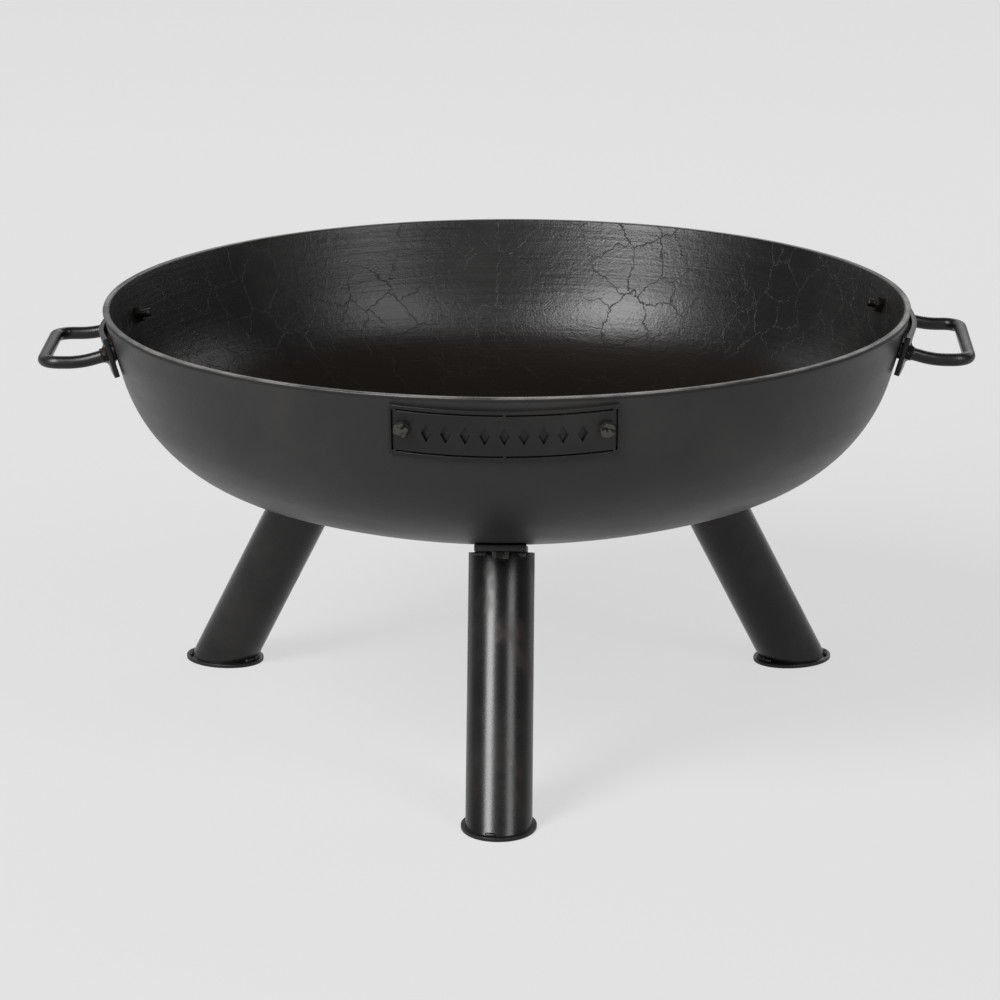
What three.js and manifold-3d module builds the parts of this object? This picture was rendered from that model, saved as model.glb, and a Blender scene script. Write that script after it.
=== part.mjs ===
// Outdoor fire bowl: a dished steel bowl bolted onto three splayed tube legs, with a
// rod handle bolted on at each side and a slotted nameplate strip bolted to the front.
//
// Millimetres, +Z up. The origin lies on the floor under the middle of the bowl.
// The front, where the nameplate is, faces -Y; the handles point along +X and -X.

import * as THREE from 'three';
import { mergeVertices } from 'three/addons/utils/BufferGeometryUtils.js';
import Module from 'manifold-3d';

const wasm = await Module();
wasm.setup();

const degrees = (angle) => (angle * Math.PI) / 180;

// ---------------------------------------------------------------- sizes

// Free space left between two pieces that touch each other.
const CLEARANCE = 0.3;
// How far a cutting body runs past the faces it cuts.
const OVERSHOOT = 5;

// Bowl: a dished bottom, a round knuckle and a straight wall that leans outwards.
const RIM_RADIUS = 381.5;
const RIM_HEIGHT = 408;
const BOWL_WALL = 6.35;
const WALL_LEAN = degrees(16);
const WALL_SLANT = 64;
const KNUCKLE_RADIUS = 149;
const DISH_RADIUS = 789;
const RIM_ROUNDING = 1.6;
const BOWL_SEGMENTS = 108;
// The dish is drawn in steps no longer than this, measured along its curve.
const DISH_FACET = 46.5;
const KNUCKLE_STEPS = 8;
const ROUNDING_STEPS = 2;

// Fasteners: one size of hexagon bolt and nut throughout.
const BOLT_DIAMETER = 8;
const HEX_ACROSS_FLATS = 13;
const HEAD_HEIGHT = 5.3;
const NUT_HEIGHT = 6.8;
const HEX_CHAMFER = degrees(30);
const BOLT_TIP_CHAMFER = 1;
const BOLT_SEGMENTS = 16;
const BOLT_HOLE_RADIUS = BOLT_DIAMETER / 2 + CLEARANCE;
const HANDLE_BOLT_TIP = 8;
const NAMEPLATE_BOLT_TIP = 3;
const LEG_BOLT_TIP = 2;

// Legs: steel tube, mitred to the slope of the bowl at the top and level at the floor.
// The two rear legs stand a little closer together than a third of a turn.
const LEGS = [
  { name: 'front', azimuth: degrees(-91) },
  { name: 'right', azimuth: degrees(31.5) },
  { name: 'left', azimuth: degrees(148.5) },
];
const LEG_LEAN = degrees(29.4);
const TUBE_RADIUS = 30.15;
const TUBE_WALL = 3.9;
const TUBE_SEGMENTS = 48;

// Foot: an oval plate that stands proud of the tube all round.
const FOOT_THICKNESS = 3.5;
const FOOT_MARGIN_SIDES = 4;
const FOOT_MARGIN_ENDS = 6;
const FOOT_SEGMENTS = 48;

// Leg plate: flat bar on top of the tube that reaches outwards to the leg bolt. It
// touches the bowl at the contact radius, and the tube stands a little further in.
const LEG_CONTACT_RADIUS = 230;
const LEG_TUBE_INSET = 20.95;
const LEG_PLATE_WIDTH = 47;
const LEG_PLATE_THICKNESS = 6;
const LEG_PLATE_OUTREACH = 27;
const LEG_BOLT_OUTREACH = 14;
// The bolt head sits on the curved inside of the bowl, so it needs a little more room.
const LEG_HEAD_SEAT = CLEARANCE + 0.3;

// Handle: a bent round rod welded to a curved strip. The strip stands off the wall on a
// spacer at each of its two bolts, which sit outside the rod, and bows out between them.
const HANDLE_ROD_RADIUS = 6;
const HANDLE_WIDTH = 130;
const HANDLE_REACH_PAST_RIM = 52;
const HANDLE_ROD_RISE = 0.5;
const HANDLE_STRAIGHT = 8;
const HANDLE_SWEEP_RADIUS = 90;
const HANDLE_CORNER_RADIUS = 16;
const HANDLE_PATH_STEPS = 56;
const HANDLE_ROD_SEGMENTS = 16;
const HANDLE_STRIP_LENGTH = 170;
const HANDLE_STRIP_HEIGHT = 38;
const HANDLE_STRIP_THICKNESS = 5;
const HANDLE_STRIP_BOW = 2.1;
const HANDLE_BOLT_RISE = 4;
const HANDLE_BOLT_ROOM = 0.5;
const SPACER_RADIUS = 8.5;
const SPACER_THICKNESS = 2.3;

// Nameplate: a straight strip wrapped round the front of the bowl.
const NAMEPLATE_LENGTH = 202;
const NAMEPLATE_HEIGHT = 50;
const NAMEPLATE_THICKNESS = 3;
const NAMEPLATE_DROP = 36.5;
const NAMEPLATE_BOLT_SPACING = 178;
const NAMEPLATE_BOLT_DROP = 33.5;
const FRAME_END_MARGIN = 3;
const FRAME_EDGE_MARGIN = 4.3;
const FRAME_SLOT = 1.8;
const FRAME_BRIDGE = 2.4;
const LOZENGE_COUNT = 9;
const LOZENGE_PITCH = 17;
const LOZENGE_WIDTH = 9;
const LOZENGE_HEIGHT = 18;

// A strip edge is drawn with this many steps along its length.
const STRIP_EDGE_STEPS = 10;
// The shell a strip is cut from is round to this many segments.
const STRIP_SHELL_SEGMENTS = 144;

// Where the strips are bolted on: the nameplate at the front, the handles at the sides.
// `drop` is how far down the slant from the rim the middle of a handle strip lies, and
// `tilt` turns the handle on the wall, because neither was bolted on quite level.
// `frontSide` tells which way along a handle strip the front of the bowl lies.
const FRONT = degrees(-90);
const HANDLES = [
  { name: 'right', facing: 0, frontSide: -1, drop: 33.5, tilt: degrees(2) },
  { name: 'left', facing: Math.PI, frontSide: 1, drop: 39.5, tilt: degrees(1) },
];
const HANDLE_ENDS = [
  { name: 'front', isFront: true },
  { name: 'rear', isFront: false },
];
const NAMEPLATE_ENDS = [
  { name: 'left', side: -1 },
  { name: 'right', side: 1 },
];

// ---------------------------------------------------------------- materials

function paintedSteel() {
  return new THREE.MeshStandardMaterial({ color: 0x2b2b2d, roughness: 0.42, metalness: 0.55 });
}

function tubeSteel() {
  return new THREE.MeshStandardMaterial({ color: 0x303032, roughness: 0.3, metalness: 0.6 });
}

function zincSteel() {
  return new THREE.MeshStandardMaterial({ color: 0x8d7a63, roughness: 0.38, metalness: 0.9 });
}

// ---------------------------------------------------------------- solids

// A three.js geometry as a solid that can be cut and joined.
function toSolid(geometry) {
  const bare = geometry.clone();
  bare.deleteAttribute('normal');
  bare.deleteAttribute('uv');
  const welded = mergeVertices(bare, 1e-4);
  return new wasm.Manifold(new wasm.Mesh({
    numProp: 3,
    vertProperties: new Float32Array(welded.attributes.position.array),
    triVerts: new Uint32Array(welded.index.array),
  }));
}

// A cut or joined solid as a three.js geometry.
function toGeometry(solid) {
  const mesh = solid.getMesh();
  const geometry = new THREE.BufferGeometry();
  geometry.setAttribute('position', new THREE.BufferAttribute(mesh.vertProperties, mesh.numProp));
  geometry.setIndex(new THREE.BufferAttribute(mesh.triVerts, 1));
  geometry.computeVertexNormals();
  return geometry;
}

function part(name, geometry, material) {
  const mesh = new THREE.Mesh(geometry, material);
  mesh.name = name;
  return mesh;
}

// A body of revolution about the Z axis from an outline of radius and height.
function turned(outline, segments) {
  const geometry = new THREE.LatheGeometry(outline, segments);
  geometry.rotateX(Math.PI / 2);
  return geometry;
}

// A cylinder that stands on the XY plane and runs up the Z axis.
function rod(radius, length, segments) {
  const geometry = new THREE.CylinderGeometry(radius, radius, length, segments);
  geometry.rotateX(Math.PI / 2);
  geometry.translate(0, 0, length / 2);
  return geometry;
}

function box(sizeX, sizeY, sizeZ) {
  return new THREE.BoxGeometry(sizeX, sizeY, sizeZ);
}

// Points along an arc of radius and height, with the first point left out.
function arcPoints(centre, radius, from, to, steps) {
  const points = [];
  for (let step = 1; step <= steps; step += 1) {
    const angle = from + ((to - from) * step) / steps;
    points.push(new THREE.Vector2(
      centre.x + radius * Math.cos(angle),
      centre.y + radius * Math.sin(angle),
    ));
  }
  return points;
}

// ---------------------------------------------------------------- bowl shape

// Where the straight wall ends and the knuckle starts, on the outside.
const WALL_FOOT = new THREE.Vector2(
  RIM_RADIUS - WALL_SLANT * Math.sin(WALL_LEAN),
  RIM_HEIGHT - WALL_SLANT * Math.cos(WALL_LEAN),
);
const KNUCKLE_CENTRE = new THREE.Vector2(
  WALL_FOOT.x - KNUCKLE_RADIUS * Math.cos(WALL_LEAN),
  WALL_FOOT.y + KNUCKLE_RADIUS * Math.sin(WALL_LEAN),
);
// The dish arc meets the knuckle arc without a crease.
const DISH_CENTRE = new THREE.Vector2(
  0,
  KNUCKLE_CENTRE.y + Math.sqrt((DISH_RADIUS - KNUCKLE_RADIUS) ** 2 - KNUCKLE_CENTRE.x ** 2),
);
const MEETING_ANGLE = Math.atan2(
  KNUCKLE_CENTRE.y - DISH_CENTRE.y,
  KNUCKLE_CENTRE.x - DISH_CENTRE.x,
);
const DISH_ARC = DISH_RADIUS * (MEETING_ANGLE + Math.PI / 2);
const DISH_STEPS = Math.ceil(DISH_ARC / DISH_FACET);

// Outward and downward direction square to the straight wall, in radius and height.
const WALL_NORMAL = new THREE.Vector2(Math.cos(WALL_LEAN), -Math.sin(WALL_LEAN));

// A point on the straight wall, some way down the slant and some way out from it.
function wallPoint(slant, out) {
  return new THREE.Vector2(
    RIM_RADIUS - slant * Math.sin(WALL_LEAN) + out * WALL_NORMAL.x,
    RIM_HEIGHT - slant * Math.cos(WALL_LEAN) + out * WALL_NORMAL.y,
  );
}

// Height of the outside of the dished bottom at a given radius.
function dishHeight(radius) {
  return DISH_CENTRE.y - Math.sqrt(DISH_RADIUS ** 2 - radius ** 2);
}

// The curved part of the bowl outline from the axis up to the wall, moved in by a depth.
function bellyPoints(depth) {
  return [
    new THREE.Vector2(0, DISH_CENTRE.y - DISH_RADIUS + depth),
    ...arcPoints(DISH_CENTRE, DISH_RADIUS - depth, -Math.PI / 2, MEETING_ANGLE, DISH_STEPS),
    ...arcPoints(KNUCKLE_CENTRE, KNUCKLE_RADIUS - depth, MEETING_ANGLE, -WALL_LEAN, KNUCKLE_STEPS),
  ];
}

// The rim is cut level, with its two edges rounded.
function rimPoints() {
  const rimWidth = BOWL_WALL / Math.cos(WALL_LEAN);
  const outerInset = RIM_ROUNDING * Math.tan((Math.PI / 2 + WALL_LEAN) / 2);
  const innerInset = RIM_ROUNDING * Math.tan((Math.PI / 2 - WALL_LEAN) / 2);
  const centreHeight = RIM_HEIGHT - RIM_ROUNDING;
  const outerCentre = new THREE.Vector2(RIM_RADIUS - outerInset, centreHeight);
  const innerCentre = new THREE.Vector2(RIM_RADIUS - rimWidth + innerInset, centreHeight);
  const outerStart = outerCentre.clone().addScaledVector(WALL_NORMAL, RIM_ROUNDING);
  const innerStart = new THREE.Vector2(innerCentre.x, RIM_HEIGHT);
  return [
    outerStart,
    ...arcPoints(outerCentre, RIM_ROUNDING, -WALL_LEAN, Math.PI / 2, ROUNDING_STEPS),
    innerStart,
    ...arcPoints(innerCentre, RIM_ROUNDING, Math.PI / 2, Math.PI - WALL_LEAN, ROUNDING_STEPS),
  ];
}

function bowlBlank() {
  const outline = [
    ...bellyPoints(0),
    ...rimPoints(),
    ...bellyPoints(BOWL_WALL).reverse(),
  ];
  return toSolid(turned(outline, BOWL_SEGMENTS));
}

// ---------------------------------------------------------------- strips wrapped on the wall

// A straight strip bent round the leaning wall keeps its edges straight on the sheet,
// so its ends climb a little. This gives the sideways place and height, seen from
// the front, of a point `along` and `up` on the flat strip.
function wrappedPoint(drop, along, up) {
  const middle = wallPoint(drop, 0);
  const apexDistance = middle.x / Math.sin(WALL_LEAN);
  const reach = Math.hypot(apexDistance + up, along);
  const turn = Math.atan2(along, apexDistance + up) / Math.sin(WALL_LEAN);
  return new THREE.Vector2(
    reach * Math.sin(WALL_LEAN) * Math.sin(turn),
    middle.y + (reach - apexDistance) * Math.cos(WALL_LEAN),
  );
}

// Direction round the bowl, away from the front, of a point on the flat strip.
function wrappedTurn(drop, along) {
  const apexDistance = wallPoint(drop, 0).x / Math.sin(WALL_LEAN);
  return Math.atan2(along, apexDistance) / Math.sin(WALL_LEAN);
}

// How far up the slant the middle line of a strip has climbed at a point along it.
function wrappedClimb(drop, along) {
  const apexDistance = wallPoint(drop, 0).x / Math.sin(WALL_LEAN);
  return Math.hypot(apexDistance, along) - apexDistance;
}

// A place on a flat strip, after the strip has been turned about its own middle.
function tilted(along, up, tilt) {
  return new THREE.Vector2(along, up).rotateAround(new THREE.Vector2(), tilt);
}

// A cutter for a rectangle of the flat strip, running back through the wall.
function wrappedRectangle(drop, from, to, low, high, tilt = 0) {
  const points = [];
  const addPoint = (along, up) => {
    const place = tilted(along, up, tilt);
    points.push(wrappedPoint(drop, place.x, place.y));
  };
  for (let step = 0; step <= STRIP_EDGE_STEPS; step += 1) {
    addPoint(from + ((to - from) * step) / STRIP_EDGE_STEPS, low);
  }
  for (let step = STRIP_EDGE_STEPS; step >= 0; step -= 1) {
    addPoint(from + ((to - from) * step) / STRIP_EDGE_STEPS, high);
  }
  return frontCutter(points);
}

function wrappedLozenge(drop, centre, width, height) {
  return frontCutter([
    wrappedPoint(drop, centre - width / 2, 0),
    wrappedPoint(drop, centre, -height / 2),
    wrappedPoint(drop, centre + width / 2, 0),
    wrappedPoint(drop, centre, height / 2),
  ]);
}

// An outline seen from the front, pushed back through the front half of the bowl.
function frontCutter(points) {
  const depth = RIM_RADIUS / 2;
  const geometry = new THREE.ExtrudeGeometry(new THREE.Shape(points), {
    depth,
    bevelEnabled: false,
  });
  geometry.rotateX(Math.PI / 2);
  geometry.translate(0, depth - RIM_RADIUS - OVERSHOOT, 0);
  return toSolid(geometry);
}

// A thin cone-shaped shell, some way outside the straight wall.
function wallShell(gap, thickness) {
  const top = -OVERSHOOT;
  const bottom = WALL_SLANT + OVERSHOOT;
  const outline = [
    wallPoint(bottom, gap),
    wallPoint(bottom, gap + thickness),
    wallPoint(top, gap + thickness),
    wallPoint(top, gap),
    wallPoint(bottom, gap),
  ];
  return toSolid(turned(outline, STRIP_SHELL_SEGMENTS));
}

function wrappedStrip(drop, length, height, gap, thickness, tilt = 0) {
  const outline = wrappedRectangle(
    drop,
    -length / 2,
    length / 2,
    -height / 2,
    height / 2,
    tilt,
  );
  return wallShell(gap, thickness).intersect(outline);
}

// ---------------------------------------------------------------- fasteners

// A hexagon prism on the XY plane with its upper corners turned to a chamfer.
function hexagon(height) {
  const cornerRadius = HEX_ACROSS_FLATS / Math.sqrt(3);
  const fall = (cornerRadius - HEX_ACROSS_FLATS / 2) * Math.tan(HEX_CHAMFER);
  const prism = toSolid(rod(cornerRadius, height, 6));
  const chamfer = toSolid(turned([
    new THREE.Vector2(0, 0),
    new THREE.Vector2(cornerRadius + CLEARANCE, 0),
    new THREE.Vector2(cornerRadius + CLEARANCE, height - fall),
    new THREE.Vector2(HEX_ACROSS_FLATS / 2, height),
    new THREE.Vector2(0, height),
  ], BOLT_SEGMENTS * 2));
  return prism.intersect(chamfer);
}

// A bolt whose head rests on the XY plane, head up, with the shank below.
function boltGeometry(shankLength) {
  const tipRadius = BOLT_DIAMETER / 2 - BOLT_TIP_CHAMFER;
  const shank = toSolid(turned([
    new THREE.Vector2(0, -shankLength),
    new THREE.Vector2(tipRadius, -shankLength),
    new THREE.Vector2(BOLT_DIAMETER / 2, BOLT_TIP_CHAMFER - shankLength),
    new THREE.Vector2(BOLT_DIAMETER / 2, HEAD_HEIGHT / 2),
    new THREE.Vector2(0, HEAD_HEIGHT / 2),
  ], BOLT_SEGMENTS));
  return toGeometry(hexagon(HEAD_HEIGHT).add(shank));
}

// A nut that rests on the XY plane and stands up from it.
function nutGeometry() {
  const bore = toSolid(rod(BOLT_HOLE_RADIUS, NUT_HEIGHT * 2, BOLT_SEGMENTS));
  return toGeometry(hexagon(NUT_HEIGHT).subtract(bore.translate(0, 0, -NUT_HEIGHT / 2)));
}

// Turns and moves a geometry made about the Z axis so that its Z axis points along
// `direction` and its origin lies on `place`.
function aimed(geometry, place, direction, roll = 0) {
  const turn = new THREE.Quaternion().setFromUnitVectors(
    new THREE.Vector3(0, 0, 1),
    direction.clone().normalize(),
  );
  const spin = new THREE.Quaternion().setFromAxisAngle(new THREE.Vector3(0, 0, 1), roll);
  const matrix = new THREE.Matrix4().compose(
    place,
    turn.multiply(spin),
    new THREE.Vector3(1, 1, 1),
  );
  return geometry.clone().applyMatrix4(matrix);
}

// ---------------------------------------------------------------- bolts through the wall

// The wall line of one bolt: a place on the outside of the wall and the way out.
function wallBoltLine(drop, along, facing) {
  const turn = facing + wrappedTurn(drop, along);
  const foot = wallPoint(drop - wrappedClimb(drop, along), 0);
  const across = new THREE.Vector3(Math.cos(turn), Math.sin(turn), 0);
  return {
    place: across.clone().multiplyScalar(foot.x).setZ(foot.y),
    out: across.clone().multiplyScalar(WALL_NORMAL.x).setZ(WALL_NORMAL.y),
    roll: turn,
  };
}

function pointOnLine(line, distance) {
  return line.place.clone().addScaledVector(line.out, distance);
}

function wallBoltHole(line) {
  const depth = BOWL_WALL * 4;
  const drill = rod(BOLT_HOLE_RADIUS, depth, BOLT_SEGMENTS);
  return toSolid(aimed(drill, pointOnLine(line, -depth / 2), line.out));
}

// `stripFace` is how far the outer face of the strip stands out from the wall.
function wallBolt(name, line, stripFace, tip) {
  const headSeat = stripFace + CLEARANCE;
  const nutSeat = BOWL_WALL + CLEARANCE;
  const shankLength = headSeat + nutSeat + NUT_HEIGHT + tip;
  const geometry = aimed(boltGeometry(shankLength), pointOnLine(line, headSeat), line.out);
  return part(name, geometry, zincSteel());
}

function wallNut(name, line) {
  const place = pointOnLine(line, -BOWL_WALL - CLEARANCE);
  const inward = line.out.clone().negate();
  return part(name, aimed(nutGeometry(), place, inward), zincSteel());
}

// ---------------------------------------------------------------- legs

// The leg is laid out in a plane of radius and height, at azimuth zero.
const LEG_SLOPE = Math.asin(LEG_CONTACT_RADIUS / DISH_RADIUS);
const LEG_CONTACT = new THREE.Vector2(LEG_CONTACT_RADIUS, dishHeight(LEG_CONTACT_RADIUS));
const LEG_UPHILL = new THREE.Vector2(Math.cos(LEG_SLOPE), Math.sin(LEG_SLOPE));
const LEG_DOWN = new THREE.Vector2(Math.sin(LEG_SLOPE), -Math.cos(LEG_SLOPE));
const LEG_PLATE_TOP = CLEARANCE;
const LEG_PLATE_UNDERSIDE = LEG_PLATE_TOP + LEG_PLATE_THICKNESS;
const TUBE_MITRE = LEG_PLATE_UNDERSIDE + CLEARANCE;

// A point of the leg layout: how far uphill along the plate and how far below the bowl.
function legPoint(uphill, below) {
  return LEG_CONTACT.clone()
    .addScaledVector(LEG_UPHILL, uphill)
    .addScaledVector(LEG_DOWN, below);
}

// Where the middle of the tube meets the mitre, uphill from the contact point.
const TUBE_UPHILL = -LEG_TUBE_INSET;
// Half the length of the mitred tube end, measured along the plate.
const MITRE_HALF = TUBE_RADIUS / Math.cos(LEG_LEAN - LEG_SLOPE);
const LEG_PLATE_INNER = TUBE_UPHILL - MITRE_HALF;
const LEG_PLATE_OUTER = TUBE_UPHILL + MITRE_HALF + LEG_PLATE_OUTREACH;
const LEG_BOLT_UPHILL = TUBE_UPHILL + MITRE_HALF + LEG_BOLT_OUTREACH;
// Where the middle line of the tube would reach the floor.
const TUBE_TOP = legPoint(TUBE_UPHILL, TUBE_MITRE);
const LEG_FLOOR_RADIUS = TUBE_TOP.x + TUBE_TOP.y * Math.tan(LEG_LEAN);

// Moves a geometry made in the leg plate's own frame (X uphill, Z up off the plate)
// into place on the leg at azimuth zero.
function ontoLegPlate(geometry, uphill, below) {
  const place = legPoint(uphill, below);
  geometry.rotateY(-LEG_SLOPE);
  geometry.translate(place.x, 0, place.y);
  return geometry;
}

function turnedToLeg(geometry, azimuth) {
  return geometry.clone().rotateZ(azimuth);
}

function legTube() {
  const length = RIM_HEIGHT;
  const outer = toSolid(rod(TUBE_RADIUS, length * 2, TUBE_SEGMENTS));
  const inner = toSolid(rod(TUBE_RADIUS - TUBE_WALL, length * 2, TUBE_SEGMENTS));
  const upright = toGeometry(outer.subtract(inner));
  upright.translate(0, 0, -length);
  upright.rotateY(-LEG_LEAN);
  upright.translate(LEG_FLOOR_RADIUS, 0, 0);
  const above = ontoLegPlate(
    box(length * 2, length * 2, length).translate(0, 0, length / 2),
    0,
    TUBE_MITRE,
  );
  const floor = box(length * 4, length * 2, length);
  floor.translate(LEG_FLOOR_RADIUS, 0, FOOT_THICKNESS + CLEARANCE - length / 2);
  return toGeometry(toSolid(upright).subtract(toSolid(above)).subtract(toSolid(floor)));
}

function footPlate() {
  const endsRadius = TUBE_RADIUS / Math.cos(LEG_LEAN) + FOOT_MARGIN_ENDS;
  const sidesRadius = TUBE_RADIUS + FOOT_MARGIN_SIDES;
  const centre = LEG_FLOOR_RADIUS - FOOT_THICKNESS * Math.tan(LEG_LEAN);
  const geometry = rod(1, FOOT_THICKNESS, FOOT_SEGMENTS);
  geometry.scale(endsRadius, sidesRadius, 1);
  geometry.translate(centre, 0, 0);
  return geometry;
}

function legPlate() {
  const length = LEG_PLATE_OUTER - LEG_PLATE_INNER;
  const bar = ontoLegPlate(
    box(length, LEG_PLATE_WIDTH, LEG_PLATE_THICKNESS),
    (LEG_PLATE_OUTER + LEG_PLATE_INNER) / 2,
    LEG_PLATE_TOP + LEG_PLATE_THICKNESS / 2,
  );
  return toGeometry(toSolid(bar).subtract(legBoltHole()));
}

function legBoltHole() {
  const depth = LEG_PLATE_THICKNESS + BOWL_WALL * 2 + OVERSHOOT * 2;
  const drill = rod(BOLT_HOLE_RADIUS, depth, BOLT_SEGMENTS);
  return toSolid(ontoLegPlate(drill, LEG_BOLT_UPHILL, LEG_PLATE_UNDERSIDE + OVERSHOOT));
}

// Height of the inside of the bowl above the leg plate's plane, along the leg bolt.
function legHeadSeat() {
  const foot = legPoint(LEG_BOLT_UPHILL, 0);
  const toCentre = DISH_CENTRE.clone().sub(foot);
  const alongBolt = -toCentre.dot(LEG_DOWN);
  const offBolt = toCentre.dot(LEG_UPHILL);
  const insideRadius = DISH_RADIUS - BOWL_WALL;
  return alongBolt - Math.sqrt(insideRadius ** 2 - offBolt ** 2) + LEG_HEAD_SEAT;
}

function legBolt() {
  const seat = legHeadSeat();
  const shankLength = seat + LEG_PLATE_UNDERSIDE + CLEARANCE + NUT_HEIGHT + LEG_BOLT_TIP;
  return ontoLegPlate(boltGeometry(shankLength), LEG_BOLT_UPHILL, -seat);
}

function legNut() {
  const nut = nutGeometry();
  nut.rotateX(Math.PI);
  nut.rotateZ(degrees(30));
  return ontoLegPlate(nut, LEG_BOLT_UPHILL, LEG_PLATE_UNDERSIDE + CLEARANCE);
}

// ---------------------------------------------------------------- handles

// How far the inner and outer faces of a handle strip stand out from the wall.
const HANDLE_STRIP_GAP = CLEARANCE + SPACER_THICKNESS + CLEARANCE;
const HANDLE_STRIP_FACE = HANDLE_STRIP_GAP + HANDLE_STRIP_THICKNESS;
// The bolt heads clear the rod by a little.
const HANDLE_BOLT_ALONG = HANDLE_WIDTH / 2 + HANDLE_ROD_RADIUS
  + HEX_ACROSS_FLATS / 2 + HANDLE_BOLT_ROOM;

// Part of a circle in space: it starts at `centre` + `first` and turns towards `second`.
class ArcInSpace extends THREE.Curve {
  constructor(centre, first, second, angle) {
    super();
    this.centre = centre;
    this.first = first;
    this.second = second;
    this.angle = angle;
  }

  getPoint(t, target = new THREE.Vector3()) {
    const turn = this.angle * t;
    return target.copy(this.centre)
      .addScaledVector(this.first, Math.cos(turn))
      .addScaledVector(this.second, Math.sin(turn));
  }
}

// The middle line of one side of the handle rod, from inside its strip to the corner.
function handleSide(side, stripDrop) {
  const across = (side * HANDLE_WIDTH) / 2;
  const root = wallPoint(stripDrop - HANDLE_ROD_RISE, 0);
  const inner = new THREE.Vector3(root.x, across, root.y);
  const wayOut = new THREE.Vector3(WALL_NORMAL.x, 0, WALL_NORMAL.y);
  const sweepStart = inner.clone()
    .addScaledVector(wayOut, HANDLE_STRIP_FACE + HANDLE_STRAIGHT);
  const sweepUp = new THREE.Vector3(-WALL_NORMAL.y, 0, WALL_NORMAL.x)
    .multiplyScalar(HANDLE_SWEEP_RADIUS);
  const sweepCentre = sweepStart.clone().add(sweepUp);
  const sweep = new ArcInSpace(
    sweepCentre,
    sweepUp.clone().negate(),
    wayOut.clone().multiplyScalar(HANDLE_SWEEP_RADIUS),
    WALL_LEAN,
  );
  const sweepEnd = sweep.getPoint(1);
  const reach = RIM_RADIUS + HANDLE_REACH_PAST_RIM;
  const cornerStart = sweepEnd.clone().setX(reach - HANDLE_CORNER_RADIUS);
  return { inner, sweepStart, sweep, sweepEnd, cornerStart };
}

function handlePath(stripDrop) {
  const near = handleSide(-1, stripDrop);
  const far = handleSide(1, stripDrop);
  const outward = new THREE.Vector3(HANDLE_CORNER_RADIUS, 0, 0);
  const sideways = new THREE.Vector3(0, HANDLE_CORNER_RADIUS, 0);
  const nearCorner = new ArcInSpace(
    near.cornerStart.clone().add(sideways),
    sideways.clone().negate(),
    outward,
    Math.PI / 2,
  );
  const farCorner = new ArcInSpace(
    far.cornerStart.clone().sub(sideways),
    outward,
    sideways,
    Math.PI / 2,
  );
  const farSweep = new ArcInSpace(
    far.sweep.centre,
    far.sweepEnd.clone().sub(far.sweep.centre),
    new THREE.Vector3(-HANDLE_SWEEP_RADIUS, 0, 0),
    WALL_LEAN,
  );
  const path = new THREE.CurvePath();
  path.add(new THREE.LineCurve3(near.inner, near.sweepStart));
  path.add(near.sweep);
  path.add(new THREE.LineCurve3(near.sweepEnd, near.cornerStart));
  path.add(nearCorner);
  path.add(new THREE.LineCurve3(nearCorner.getPoint(1), farCorner.getPoint(0)));
  path.add(farCorner);
  path.add(new THREE.LineCurve3(far.cornerStart, far.sweepEnd));
  path.add(farSweep);
  path.add(new THREE.LineCurve3(far.sweepStart, far.inner));
  return path;
}

// Pushes a shape that was made round the front out from the wall, most of all half way
// between the two handle bolts and not at all beyond them.
function bowed(solid, stripDrop) {
  const geometry = toGeometry(solid);
  const boltTurn = wrappedTurn(stripDrop, HANDLE_BOLT_ALONG);
  const position = geometry.attributes.position;
  for (let index = 0; index < position.count; index += 1) {
    const turn = Math.atan2(position.getX(index), -position.getY(index));
    const share = Math.max(0, 1 - (turn / boltTurn) ** 2) ** 2;
    const push = HANDLE_STRIP_BOW * share;
    const radius = Math.hypot(position.getX(index), position.getY(index));
    const pushed = radius + push * WALL_NORMAL.x;
    const height = position.getZ(index) + push * WALL_NORMAL.y;
    position.setXYZ(index, pushed * Math.sin(turn), -pushed * Math.cos(turn), height);
  }
  return toSolid(geometry);
}

// Everything inside the outer face of a handle strip, made round the front.
function insideStripFace(stripDrop) {
  const offset = HANDLE_STRIP_FACE + CLEARANCE;
  const bottom = wallPoint(WALL_SLANT * 2, offset);
  const top = wallPoint(-OVERSHOOT, offset);
  const inside = turned([
    new THREE.Vector2(0, bottom.y),
    bottom,
    top,
    new THREE.Vector2(0, top.y),
  ], STRIP_SHELL_SEGMENTS);
  return bowed(toSolid(inside), stripDrop);
}

// The rod ends are cut to the curve of the strip they are welded to.
function handleRod({ drop, tilt }) {
  const section = new THREE.Shape();
  section.absarc(0, 0, HANDLE_ROD_RADIUS, 0, Math.PI * 2);
  const bent = new THREE.ExtrudeGeometry(section, {
    steps: HANDLE_PATH_STEPS,
    curveSegments: HANDLE_ROD_SEGMENTS / 2,
    extrudePath: handlePath(drop),
  });
  const middle = wallPoint(drop, 0);
  const wayOut = new THREE.Vector3(WALL_NORMAL.x, 0, WALL_NORMAL.y);
  bent.translate(-middle.x, 0, -middle.y);
  bent.applyMatrix4(new THREE.Matrix4().makeRotationAxis(wayOut, tilt));
  bent.translate(middle.x, 0, middle.y);
  const inside = toGeometry(insideStripFace(drop)).rotateZ(-FRONT);
  return toGeometry(toSolid(bent).subtract(toSolid(inside)));
}

// The line of the front or rear bolt of a handle.
function handleBoltLine(isFront, { frontSide, drop, tilt }, facing) {
  const side = isFront ? frontSide : -frontSide;
  const place = tilted(side * HANDLE_BOLT_ALONG, HANDLE_BOLT_RISE, tilt);
  return wallBoltLine(drop - place.y, place.x, facing);
}

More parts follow.
